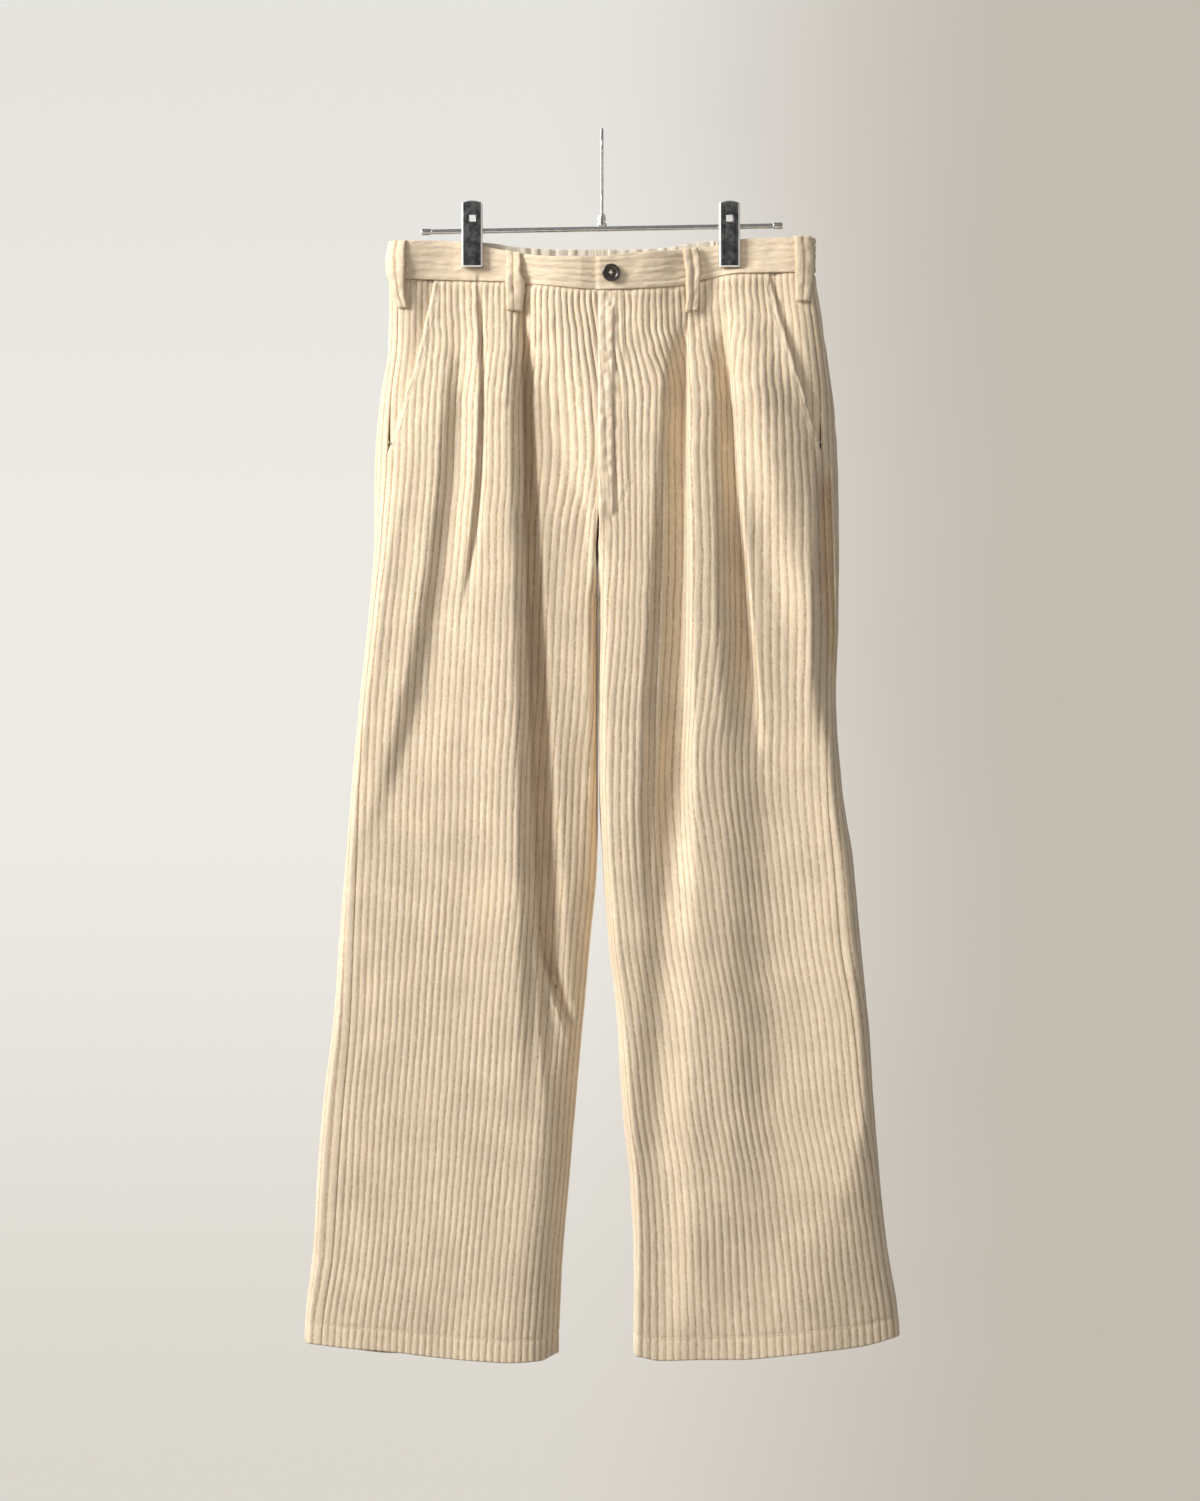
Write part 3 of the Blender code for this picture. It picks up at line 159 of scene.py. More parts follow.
# One row for each fold. The crest starts at x_top, passes x_mid half way and ends at x_end. height lifts
# the crest and depth sinks the trough on its inner side; steep is the width of the flank between them.
# outer and inner are the widths over which crest and trough die away; start is the strength at z_top.
# A local fold stretches the cloth where it lies, so that the wales beside it run straight on.
Fold = namedtuple("Fold", "name side z_top z_end x_top x_mid x_end height depth steep_top steep_end "
                          "outer inner start local")
FRONT_FOLDS = [Fold(*row) for row in (
    ("right_pleat_1", RIGHT, -140, -950, -93, -81, -78, 5.0, 9.5, 24, 17, 50, 420, 0.45, 0),
    ("right_pleat_1_groove", RIGHT, -172, -930, -77, -69.5, -54, 0.0, 24.0, 3, 10, 1, 20, 0.4, 1),
    ("right_inner_fall", RIGHT, -520, -1500, -52, -62, -88, 0.0, 7.0, 44, 40, 1, 420, 0.0, 0),
    ("right_pleat_2", RIGHT, -140, -470, -117.5, -116.5, -136, 2.5, 5.0, 3, 4, 18, 8, 0.5, 0),
    ("right_hip_hollow", RIGHT, -180, -690, -146, -169, -232, 2.0, 6.0, 16, 19, 20, 34, 0.2, 0),
    ("right_knee_twist", RIGHT, -715, -860, -68, -52, -20, 3.0, 8.0, 6, 6, 14, 12, 0.0, 1),
    ("right_knee_pucker", RIGHT, -765, -850, -58, -44, -28, 1.5, 5.0, 5, 5, 10, 9, 0.0, 1),
    ("left_pleat_1", LEFT, -160, -780, 81, 85, 88, 2.0, 18.0, 3, 20, 40, 37, 0.0, 0),
    ("left_shin_ridge", LEFT, -520, -1120, 88, 86, 80, 1.5, 6.0, 26, 34, 30, 26, 0.0, 0),
    ("left_shin_set_back", LEFT, -330, -1120, 134, 160, 168, -11.0, 0.0, 34, 66, 110, 1, 0.0, 0),
    ("left_thigh_crease", LEFT, -300, -760, 60, 52, 50, 0.5, 5.0, 4, 7, 6, 8, 0.0, 1),
    ("left_pleat_2", LEFT, -160, -610, 117, 134, 156, 3.0, 15.0, 3, 10, 44, 27, 0.0, 0),
    ("left_hip_ridge", LEFT, -140, -530, 126, 164, 214, 11.0, 0.0, 34, 30, 46, 1, 1.0, 0),
    ("left_side_fold", LEFT, -298, -590, 212, 217, 225, 0.0, 26.0, 5, 5, 6, 20, 0.0, 1),
    ("left_shin_hollow", LEFT, -960, -1170, 92, 84, 76, 2.0, 2.0, 24, 30, 50, 30, 0.0, 0))]
BACK_FOLDS = [Fold(*row) for row in (
    ("right_seat_fold", RIGHT, -230, -900, -92, -104, -118, 4.5, 7.0, 14, 26, 46, 34, 0.0, 0),
    ("right_back_drape", RIGHT, -330, -1060, -158, -172, -196, 4.0, 5.0, 18, 26, 34, 28, 0.0, 0),
    ("left_seat_fold", LEFT, -215, -940, 84, 98, 122, 5.0, 7.5, 14, 28, 44, 32, 0.0, 0),
    ("left_back_drape", LEFT, -300, -1000, 152, 170, 190, 4.0, 5.5, 16, 26, 34, 28, 0.0, 0))]
WALE_FOLDS = [fold for fold in FRONT_FOLDS if not fold.local]
# A fold comes to full strength over this share of its run, and over no more than the second.
FOLD_GROW, FOLD_GROW_MOST = 0.16, 80.0
FOLD_FADE = 0.35  # share of its run in which it dies away

# Rise of each edge over its flat height: x, then millimetres up.
BAND_TOP_RISE = {"front": ((-197, 0), (-150, 1), (-120, -2), (-100, -6), (-72, -12), (-44, -15), (0, -15),
                           (29, -12), (71, -8.5), (107, -3), (130, 2.5), (197, 4.5)),
                 "back": ((-197, 0), (-110, 0), (-78, -4), (-40, -5.8), (19, -5.8), (55, -4.5), (81, -0.5),
                          (107, 2), (197, 4.5))}
WAIST_RISE = {"front": ((-197, 1), (-92, -1.5), (-50, -6), (0, -10), (50, -8), (75, -5), (97, 1), (127, 6),
                        (197, 7.5)),
              "back": ((-197, 1), (-110, 0), (-78, -3), (-40, -5), (19, -5), (55, -3), (81, 1), (107, 4),
                       (197, 7.5))}
HEM_RISE = {"front": ((-277, 17), (-239, 12), (-193, 8), (-152, 3), (-120, 0), (-84, -2), (-57, -1), (-41, 4),
                      (30, 4), (54, 0), (91, 1), (128, 1), (165, 4), (203, 8), (240, 12), (268, 18),
                      (277, 20)),
            "back": ((-277, 17), (-239, 5), (-193, 0), (-152, 0), (-84, 0), (-41, 4),
                     (30, 4), (54, 1), (128, 0), (203, 5), (240, 12), (268, 18), (277, 20))}
WAIST_REACH, HEM_REACH = 160.0, 150.0  # the dips of the waist line and the hem are gone this far from them
SEAM_SHARE = 40.0  # behind the outseam the back takes the front's heights, less and less over this

# ---- hanger
BAR_RADIUS, BAR_HALF, BAR_Y = 2.4, 158.5, -4.0  # without the caps
BAR_Z_LEFT_END, BAR_Z_RIGHT_END = -88.8, -94.4  # at the wearer's left and right end
CAP_RADIUS, CAP_LENGTH = 3.1, 9.0
FERRULE_RADIUS, FERRULE_LENGTH = 3.8, 11.0
WIRE_RADIUS, HOOK_RADIUS = 1.4, 17.9  # the second of the wire's middle line, round a rail 25 mm thick
HOOK_START_ANGLE, HOOK_TIP_ANGLE = -18.0, 35.0  # degrees below level at the arc's start and tip
NECK_Z = -58.0  # start of the neck's bend
CLIP_X = {RIGHT: -120.4, LEFT: 118.3}
CLIP_Z_TOP, CLIP_Z_BOTTOM = -66.5, -128.0
CLIP_WIDTH, CLIP_INNER_WIDTH = 19.5, 16.6  # the back jaw's ears fit inside the front jaw's
CLIP_CROWN, CLIP_CORNER = 3.2, 1.6  # rise of the jaw's rounded top, radius of its side edges
CLIP_FLANGE, CLIP_FLANGE_RISE = 2.6, 8.0  # the turned side edges' depth, and their reach over the bar
CLIP_EAR_RISE, CLIP_EAR_REACH = 1.5, 5.2  # the middle of the ears over the bar, and how far they spread
CLIP_SHEET = 1.0
CLIP_HOLE, CLIP_HOLE_Z = (6.5, 6.0), -83.0
CLIP_HOLE_TALLER = 4.0  # the back jaw's window reaches higher, so that light shows through both
PINCH_REACH = (56.0, 78.0)  # the cloth comes back to its full depth this far in and out from a clip
PINCH_FRONT_Y, PINCH_BACK_Y = -8.0, 2.5
PINCH_Z_FULL, PINCH_Z_END = -148.0, -255.0
PINCH_FOLDS = 0.6  # share of the folds' height that is left below the clips

# ---- belt loops and button
LOOP_WIDTH, LOOP_WALL = 16.0, 1.6
LOOP_BELOW_SEAM, LOOP_RISE = 27.0, 0.6  # from waist seam to a loop's foot, from band top to its end
# How each loop hangs: its foot's and middle's shift in x, its foot's width as a share, and how far it arches.
Loop = namedtuple("Loop", "name side x face lean bulge foot arch seed")
LOOPS = [Loop(*row) for row in (
    ("belt_loop_side_right", RIGHT, -188.5, "front", 4.0, -2.5, 0.60, 4.2, 90),
    ("belt_loop_front_right", RIGHT, -81.5, "front", -1.0, 0.5, 0.86, 3.0, 94),
    ("belt_loop_front_left", LEFT, 81.0, "front", 1.0, 1.6, 0.84, 3.0, 98),
    ("belt_loop_side_left", LEFT, 185.0, "front", 0.5, 1.0, 0.86, 3.2, 102),
    ("belt_loop_back", LEFT, X_MID + LOOP_WIDTH / 2 + 1, "back", 0.0, 0.0, 0.90, 3.0, 110))]
BUTTON_X, BUTTON_Z = 8.4, -122.5
BUTTON_RADIUS, BUTTON_THICKNESS = 8.2, 3.0
BUTTON_HOLE_RADIUS, BUTTON_HOLE_SPREAD = 1.0, 1.9
BUTTONHOLE_END = 20.5  # x at which the buttonhole is meant to end

# ---- how the cloth is sampled
WALE_STEP, INSIDE_STEP = 1 / 6, 0.5  # wales between points, outside and inside
ROW_STEP, HIP_ROW_STEP, Z_HIP_ROWS = 4.6, 3.4, -330.0  # between rows, and between those above a height
EDGE_ROWS = (0.0, 0.5, 1.2, 2.2, 3.6, 5.4, 7.6)  # extra rows lie this far from an edge
BAND_LEVELS = np.unique(np.concatenate((np.linspace(0, BAND_WALES, 41), (0.06, 0.16, 4.84, 4.94))))
CURVE_STEPS, CURVE_SPACING = 700, 0.5  # points over one face, before the curve is spaced evenly
NORMAL_REACH = 5  # the normal is read over this many points each way
SEEDS = {("front", RIGHT): 11, ("front", LEFT): 23, ("back", RIGHT): 37, ("back", LEFT): 41,
         ("band", RIGHT): 53, ("band", LEFT): 67, ("band", 0): 71, ("facing", 0): 83}


# ---- curves
def smoothstep(low, high, value):
    t = np.clip((value - low) / (high - low), 0.0, 1.0)
    return t * t * (3.0 - 2.0 * t)


def below(start, end, z):
    """0 above the height start, 1 below the height end."""
    return smoothstep(-start, -end, -z)


def bell(distance, width):
    return np.exp(-(np.asarray(distance, float) / width) ** 2)


def as_points(*columns):
    return np.stack(columns, axis=1)


def steps_along(x, y):
    return np.hypot(np.diff(x), np.diff(y))


def run_along(x, y):
    return np.concatenate(([0.0], np.cumsum(steps_along(x, y))))


def smooth_curve(where, points):
    """A smooth curve through (position, value) points that never overshoots them."""
    xs, ys = np.array(sorted(points), float).T
    step = np.diff(xs)
    slope = np.diff(ys) / step
    before, after = slope[:-1], slope[1:]
    same_way = before * after > 0.0
    middle = np.where(same_way, 2.0 * before * after / np.where(same_way, before + after, 1.0), 0.0)
    tangent = np.concatenate(([slope[0]], middle, [slope[-1]]))
    where = np.clip(np.asarray(where, float), xs[0], xs[-1])
    i = np.clip(np.searchsorted(xs, where) - 1, 0, len(step) - 1)
    t = (where - xs[i]) / step[i]
    return (ys[i] * (1 + 2 * t) * (1 - t) ** 2 + ys[i + 1] * t * t * (3 - 2 * t)
            + step[i] * t * (1 - t) * (tangent[i] * (1 - t) - tangent[i + 1] * t))


def section_value(column, z):
    return smooth_curve(z, [(row.z, getattr(row, column)) for row in SECTIONS])


def edge_rounding(distance, reach):
    """A quarter ellipse: 0 at the edge, 1 from reach inwards."""
    t = np.clip(distance / reach, 0.0, 1.0)
    return np.sqrt(np.maximum(0.0, 1.0 - (1.0 - t) ** 2))


def rolled(distance, radius=EDGE_ROLL):
    """How far the outer face drops towards a folded edge."""
    return -radius * (1 - edge_rounding(np.asarray(distance, float), radius))


def open_seam(z, z_rise):
    """1 where the two halves meet at the middle seam, 0 below the crotch, a quarter round between."""
    t = np.clip((z_rise - z) / (z_rise - Z_CROTCH), 0.0, 1.0)
    return np.sqrt(1.0 - t * t)


def soft_noise(u, v, seed):
    """Smooth noise from -1 to 1 with one lattice cell for each unit of u and v."""
    size = 64
    lattice = np.random.RandomState(seed).uniform(-1.0, 1.0, (size, size))
    u, v = np.broadcast_arrays(np.asarray(u, float), np.asarray(v, float))
    iu, iv = np.floor(u).astype(int), np.floor(v).astype(int)
    fu, fv = u - iu, v - iv
    fu, fv = fu * fu * (3 - 2 * fu), fv * fv * (3 - 2 * fv)
    near = lattice[iu % size, iv % size] * (1 - fu) + lattice[(iu + 1) % size, iv % size] * fu
    far = lattice[iu % size, (iv + 1) % size] * (1 - fu) + lattice[(iu + 1) % size, (iv + 1) % size] * fu
    return near * (1 - fv) + far * fv


# ---- the outer surface of the garment
def outer_x(side, z):
    return side * (section_value(SIDE_NAME[side] + "_out", z) - RIB)


def inner_x(side, z):
    closed = 1.0 - min(open_seam(z, Z_RISE_FRONT), open_seam(z, Z_RISE_BACK))
    return section_value(SIDE_NAME[side] + "_in", z) + side * (SEAM_GAP / 2 + LEG_CLEAR * closed)


def inseam_shift(side, z):
    return INSEAM_SHIFT * below(Z_SHIFT_TOP, Z_SHIFT_END, z) if side == LEFT else 0.0


def pull(side, z):
    """Wales that the middle seam draws in, so that the rest lean towards the fly."""
    return float(smooth_curve(z, PULL[side]))


def pinch(x, z):
    """1 between a clip's jaws, 0 away from them."""
    near = 0.0
    for side, clip_x in CLIP_X.items():
        out = side * (x - clip_x)
        near = near + np.exp(-(np.abs(out) / np.where(out > 0, PINCH_REACH[1], PINCH_REACH[0])) ** 3)
    return near * (1.0 - below(PINCH_Z_FULL, PINCH_Z_END, z))


def fold_height(fold, x, z):
    """How far one fold lifts the cloth."""
    run = fold.z_top - fold.z_end
    along = float(np.clip((fold.z_top - z) / run, 0.0, 1.0))
    bow = fold.x_mid - (fold.x_top + fold.x_end) / 2
    crest_x = fold.x_top + (fold.x_end - fold.x_top) * along + bow * 4 * along * (1 - along)
    strength = fold.start + (1 - fold.start) * smoothstep(0.0, min(FOLD_GROW, FOLD_GROW_MOST / run), along)
    strength = strength * (1 - smoothstep(1 - FOLD_FADE, 1.0, along))
    strength = strength * (1 - smoothstep(Z_WAIST, Z_FLAT_BAND, z))
    steep = fold.steep_top + (fold.steep_end - fold.steep_top) * along
    out = fold.side * (x - crest_x)
    flank = smoothstep(-steep, 0.0, out)
    crest = flank * (1 - smoothstep(0.0, fold.outer, out))
    inner = fold.inner * (0.6 + 0.8 * along)
    trough = (1 - flank) * smoothstep(-steep - inner, -steep, out)
    return strength * (fold.height * crest - fold.depth * trough)


def fly_free(side, x, z):
    """0 in the raised V round the fly, where the two fronts meet, and 1 outside it, where the folds hang."""
    reach = smooth_curve(z, FLY_HOLD[side])
    edge = min(HOLD_EDGE[side], 2 * reach)
    return smoothstep(reach - edge / 2, reach + edge / 2, np.abs(x - X_MID))


def face_depth(side, x, z, column, z_rise, round_share, folds, pinch_y):
    """Distance of the front or back face from y = 0 on one half, at points x of height z."""
    depth = section_value(column, z)
    seam = 0.0 if z_rise is None else open_seam(z, z_rise)
    outer_share, inner_share = round_share
    if column == "front":
        rounder, z_from, z_to = ROUND_LOW[side]
        rounder = ROUND_HIP * (1 - below(-240, -430, z)) + rounder * below(z_from, z_to, z)
        outer_share = outer_share + rounder
    if side == RIGHT:
        inner_share = inner_share + ROUND_KNEE * below(-560, -860, z) + ROUND_CUFF * below(-960, -1120, z)
    else:
        inner_share = inner_share * (1 - ROUND_LESS * below(-940, -1120, z))
    from_outer = edge_rounding(side * (outer_x(side, z) - x), depth * outer_share)
    from_inner = seam + (1 - seam) * edge_rounding(side * (x - inner_x(side, z)), depth * inner_share)
    lift = sum(fold_height(fold, x, z) for fold in folds if fold.side == side)
    if column == "front" and z > Z_CROTCH:
        lift = lift * (1 - open_seam(z, Z_RISE_FRONT) * (1 - fly_free(side, x, z)))
    held = pinch(x, z)
    at_clip = pinch_y + PINCH_FOLDS * lift * below(Z_FLAT_BAND, PINCH_Z_FULL, z)
    return (depth + lift) * from_outer * from_inner * (1 - held) + at_clip * held


def front_y(side, x, z, z_rise=Z_RISE_FRONT, folds=FRONT_FOLDS):
    return -face_depth(side, x, z, "front", z_rise, ROUND_FRONT, folds, -PINCH_FRONT_Y)


def back_y(side, x, z, z_rise=Z_RISE_BACK):
    return face_depth(side, x, z, "back", z_rise, ROUND_BACK, BACK_FOLDS, PINCH_BACK_Y)


def cut_away(side, x_face, z, face_y, y_face):
    """Length of cloth that the rise cuts off one face at height z, against a leg closed all the way up."""
    if z <= Z_CROTCH:
        return 0.0
    return steps_along(x_face, face_y(side, x_face, z, None)).sum() - steps_along(x_face, y_face).sum()


# A section of one half, spaced evenly. laid: its length without the local folds, outseam in place.
# start, end, pitch, first: the front's run along it, its wale pitch and its first wale.
# The back_ ones say the same of the back, laid flat.
Curve = namedtuple("Curve", "side z length x y nx ny seam total laid start end pitch first "
                            "back_start back_pitch back_last")


def section_curve(side, z):
    """One half's outer surface at height z, from the front's inner edge round the side to the back's."""
    shares = 0.5 - 0.5 * np.cos(np.linspace(0.0, math.pi, CURVE_STEPS))
    x_face = inner_x(side, z) + (outer_x(side, z) - inner_x(side, z)) * shares
    y_front, y_back = front_y(side, x_face, z), back_y(side, x_face, z)
    xs = np.concatenate((x_face, x_face[-2::-1]))
    ys = np.concatenate((y_front, y_back[-2::-1]))
    rough = run_along(xs, ys)
    seam_x = outer_x(side, z) - side * section_value(SIDE_NAME[side] + "_seam", z)
    seam = np.interp(side * seam_x, side * x_face, rough[:CURVE_STEPS])
    length = np.linspace(0.0, rough[-1], int(rough[-1] / CURVE_SPACING))
    x, y = np.interp(length, rough, xs), np.interp(length, rough, ys)
    count = len(x)
    behind, ahead = np.arange(count) - NORMAL_REACH, np.arange(count) + NORMAL_REACH
    if z <= Z_CROTCH:
        ahead = np.where(ahead >= count, ahead - count + 1, ahead)
        behind = np.where(behind < 0, behind - 1, behind)
    else:
        ahead, behind = np.minimum(ahead, count - 1), np.maximum(behind, 0)
    dx, dy = x[ahead] - x[behind], y[ahead] - y[behind]
    size = np.hypot(dx, dy)

    laid = run_along(xs, np.concatenate((front_y(side, x_face, z, folds=WALE_FOLDS), y_back[-2::-1])))
    at_seam = np.interp(seam, rough, laid)
    laid = np.interp(length, rough, np.where(laid <= at_seam, laid * seam / at_seam, laid - at_seam + seam))
    front_cut = cut_away(side, x_face, z, front_y, y_front)
    back_cut = cut_away(side, x_face, z, back_y, y_back)
    shift = inseam_shift(side, z)
    start, end, back_start = shift + SEAM_GAP / 2, seam - SEAM_GAP / 2, seam + SEAM_GAP / 2
    pitch = (end - start + front_cut) / FRONT_WALES
    back_pitch = (laid[-1] + shift - SEAM_GAP / 2 - back_start + back_cut) / BACK_WALES
    return Curve(side, z, length, x, y, side * dy / size, -side * dx / size, seam, rough[-1], laid,
                 start, end, pitch, front_cut / pitch + pull(side, z),
                 back_start, back_pitch, BACK_WALES - back_cut / back_pitch)


def curve_point(curve, at, out):
    """Points of the section at the lengths at, moved out along its normal. Past its end it starts again."""
    at = np.asarray(at, float)
    at = np.where(at > curve.total + 0.01, at - curve.total, at)
    x, y, nx, ny = (np.interp(at, curve.length, values) for values in (curve.x, curve.y, curve.nx, curve.ny))
    size = np.hypot(nx, ny)
    return x + out * nx / size, y + out * ny / size


def front_at(curve, wales):
    """Length along the section at which a front wale lies."""
    half = curve.length <= curve.seam + 1
    laid = curve.end - (FRONT_WALES - np.asarray(wales, float)) * curve.pitch
    return np.interp(laid, curve.laid[half], curve.length[half])


def wale_at(curve, at):
    """The front wale at a length along the section."""
    return float(FRONT_WALES - (curve.end - np.interp(at, curve.length, curve.laid)) / curve.pitch)


def wale_at_x(curve, x):
    """The front wale at a distance from the middle."""
    half = curve.length <= curve.end
    return wale_at(curve, np.interp(x, curve.side * curve.x[half], curve.length[half]))


def back_at(curve, wales):
    """Length along the section at which a back wale lies."""
    laid = curve.back_start + wales * curve.back_pitch
    return np.interp(laid, curve.laid, curve.length) + np.maximum(laid - curve.laid[-1], 0.0)


def lifted_z(z, x, face):
    """The real height of the cloth that lies at z on the flat garment."""
    up_band = np.clip((z - Z_WAIST) / (Z_BAND_TOP - Z_WAIST), 0.0, 1.0)
    at_waist = smooth_curve(x, WAIST_RISE[face]) * (1 - below(Z_WAIST, Z_WAIST - WAIST_REACH, z))
    at_hem = smooth_curve(x, HEM_RISE[face]) * below(Z_HEM + HEM_REACH, Z_HEM, z)
    return z + at_waist * (1 - up_band) + smooth_curve(x, BAND_TOP_RISE[face]) * up_band + at_hem


def back_z(curve, z, x, at):
    """That height behind the outseam, where the back takes the front's less and less."""
    share = 1 - smoothstep(curve.seam, curve.seam + SEAM_SHARE, at)
    return lifted_z(z, x, "front") * share + lifted_z(z, x, "back") * (1 - share)


# ---- wales, and how the cloth is worn
def rib(wale, height=FINE_RIB):
    """Round wales: narrow grooves at whole numbers."""
    return height * (0.5 - 0.5 * np.cos(2 * math.pi * np.asarray(wale, float))) ** RIB_POWER


def brushed(wales, z, seed):
    """How much the pile stands up: the wales are rubbed flatter in patches."""
    wide = 0.3 * soft_noise(wales / 4, z / 45, seed + 6)
    return 1 + wide + 0.25 * soft_noise(wales / 1.3, z / 26, seed + 7)


def near_waist(z):
    """1 at the waist seam, 0 by the thigh: how much the cloth still shows the gathering of the seam."""
    return 1 - below(Z_WAIST - 60, Z_WAIST - 200, z)


def ends_fade(wales, first, last):
    return np.clip(np.minimum(wales - first, last - wales) / 2, 0.0, 1.0)


def wobble(wales, first, last, z, seed):
    """Sideways wander of the wales, in wales."""
    small = soft_noise(wales / 1.5, z / 12, seed) * (0.05 + 0.07 * near_waist(z))
    wide = soft_noise(wales / 7, z / 90, seed + 1) * 0.16
    return ends_fade(wales, first, last) * (small + wide)


def relief(wales, first, last, z, seed):
    """Small unevenness of the hanging cloth, out along its normal."""
    ripple = soft_noise(wales / 1.6, z / 11, seed + 2) * (0.14 + 0.5 * near_waist(z))
    drape = soft_noise(wales / 6, z / 110, seed + 3) * 0.9 * below(Z_WAIST - 10, Z_WAIST - 120, z)
    pucker = soft_noise(wales / 3, z / 15, seed + 4) * 0.9 * bell(last - wales, 2.2) * below(-300, -420, z)
    return ends_fade(wales, first, last) * (ripple + drape + pucker)


def front_shift(curve, wales):
    """How far the front's wales wander and lean, in wales."""
    drawn_in = pull(curve.side, curve.z)
    closed_first = drawn_in + INNER_ARC * section_value("front", curve.z) / curve.pitch
    lean = drawn_in * (1 - smoothstep(0, PULL_REACH, wales - closed_first))
    return wobble(wales, curve.first, FRONT_WALES, curve.z, SEEDS["front", curve.side]) - lean


def pressed(curve, at):
    """1 where the two legs lie against each other, which flattens the wales; at runs along the section."""
    touching = below(Z_RISE_FRONT, Z_CROTCH, curve.z) * (1 - below(Z_PRESS_END, Z_PRESS_GONE, curve.z))
    return touching * bell(np.minimum(at, curve.total - at), PRESS_REACH)


def pocket_share(z):
    """0 at the waist seam, 1 at the pocket's foot."""
    return (Z_WAIST - z) / (Z_WAIST - Z_POCKET_END)


def pocket_wale(curve):
    """The wale at which the pocket mouth cuts a front panel; all the wales below the pocket."""
    if curve.z <= Z_POCKET_END:
        return float(FRONT_WALES)
    end_x = curve.side * np.interp(curve.end, curve.length, curve.x)
    return wale_at_x(curve, POCKET_X_TOP + (end_x - POCKET_X_TOP) * pocket_share(curve.z))


def rib_scale(z, waist_rib=WAIST_RIB[LEFT][1]):
    """Wales are pinched where the waist seam and the hem's stitching hold them."""
    drop = Z_WAIST - z
    at_waist = (0.35 + 0.65 * smoothstep(0, 7, drop)) * (1 + waist_rib * (1 - smoothstep(30, 330, drop)))
    return at_waist * (1 - 0.55 * bell(z - Z_HEM - HEM_STITCH, 1.9))


def edge_drop(z):
    """The panel tucks in at the waist seam and rolls under at the hem."""
    tuck = -1.3 * (1 - smoothstep(0, 4.5, Z_WAIST - z))
    return tuck + rolled(z - Z_HEM) - 0.45 * bell(z - Z_HEM - HEM_STITCH, 1.7)


def past_strip(x, slope=1.0):
    """0 on the fly's raised edge strip, 1 beside it."""
    return smoothstep(FLY_STRIP[0] - slope, FLY_STRIP[0] + slope, x)


def fly_relief(x, z):
    """The fly's facing under the left front, and the groove of its stitching."""
    line = smooth_curve(z, FLY_STITCH)
    inside = FLY_PROUD * (1 - smoothstep(line - 1.5, line + 1.5, x)) - 0.6 * bell(x - line, 1.5)
    edge, end = FLY_STRIP
    strip = FLY_STRIP_PROUD * (1 - past_strip(x, 1.2)) - 0.4 * bell(x - (edge + X_MID) / 2, 1.3)
    hollow = FLY_HOLLOW * past_strip(x, 1.2) * (1 - smoothstep(edge + 2, end, x))
    below_band = below(Z_WAIST - 4, Z_WAIST - 30, z)
    return below(Z_FLY_END + 2, Z_FLY_END + 14, z) * (inside + below_band * (strip - hollow))


def gather_wave(wales, z):
    """The gathers that the elastic waist presses into the back."""
    fade = 1 - below(Z_WAIST, Z_WAIST - GATHER_FADE, z)
    return GATHER * fade * ends_fade(wales, 0, BACK_WALES) * np.cos(2 * math.pi * wales / GATHER_WALES)


# ---- meshes
Row = namedtuple("Row", "key wales points mark")


def zip_strip(faces, first, second):
    """Triangles between two runs of (key, vertex), advancing where the next step's middle comes first."""
    i = j = 0
    while i < len(first) - 1 or j < len(second) - 1:
        if j == len(second) - 1:
            step_first = True
        elif i == len(first) - 1:
            step_first = False
        else:
            step_first = first[i][0] + first[i + 1][0] <= second[j][0] + second[j + 1][0]
        if step_first:
            faces.append((first[i][1], first[i + 1][1], second[j][1]))
            i += 1
        else:
            faces.append((first[i][1], second[j + 1][1], second[j][1]))
            j += 1


def join_rows(faces, upper, lower):
    """Quads where two rows have the same keys, triangles where they differ."""
    if len(upper) != len(lower) or any(abs(a[0] - b[0]) >= 1e-6 for a, b in zip(upper, lower)):
        zip_strip(faces, upper, lower)
        return
    for n in range(len(upper) - 1):
        faces.append((upper[n][1], upper[n + 1][1], lower[n + 1][1], lower[n][1]))


def wall_mesh(name, outer_rows, inner_rows):
    """A closed wall between an outer and an inner sheet. Material 0 is the face, 1 the plain inside."""
    rows = outer_rows + inner_rows
    starts = np.cumsum([0] + [len(row.wales) for row in rows])
    runs = [[(key, start + n) for n, key in enumerate(row.wales)]
            for row, start in zip(rows, starts.tolist())]
    sheets = runs[:len(outer_rows)], runs[len(outer_rows):]
    faces, inside, rims = [], [], []
    for sheet, sheet_faces in zip(sheets, (faces, inside)):
        for upper, lower in zip(sheet, sheet[1:]):
            join_rows(sheet_faces, upper, lower)
    for end in (0, -1):
        zip_strip(rims, sheets[0][end], sheets[1][end])
        zip_strip(rims, *([(row.key, run[end][1]) for row, run in zip(sheet_rows, sheet)]
                          for sheet_rows, sheet in zip((outer_rows, inner_rows), sheets)))
    return closed_mesh(name + "_cloth", np.concatenate([row.points for row in rows]), faces + rims + inside,
                       np.concatenate([row.mark for row in rows]), len(inside))


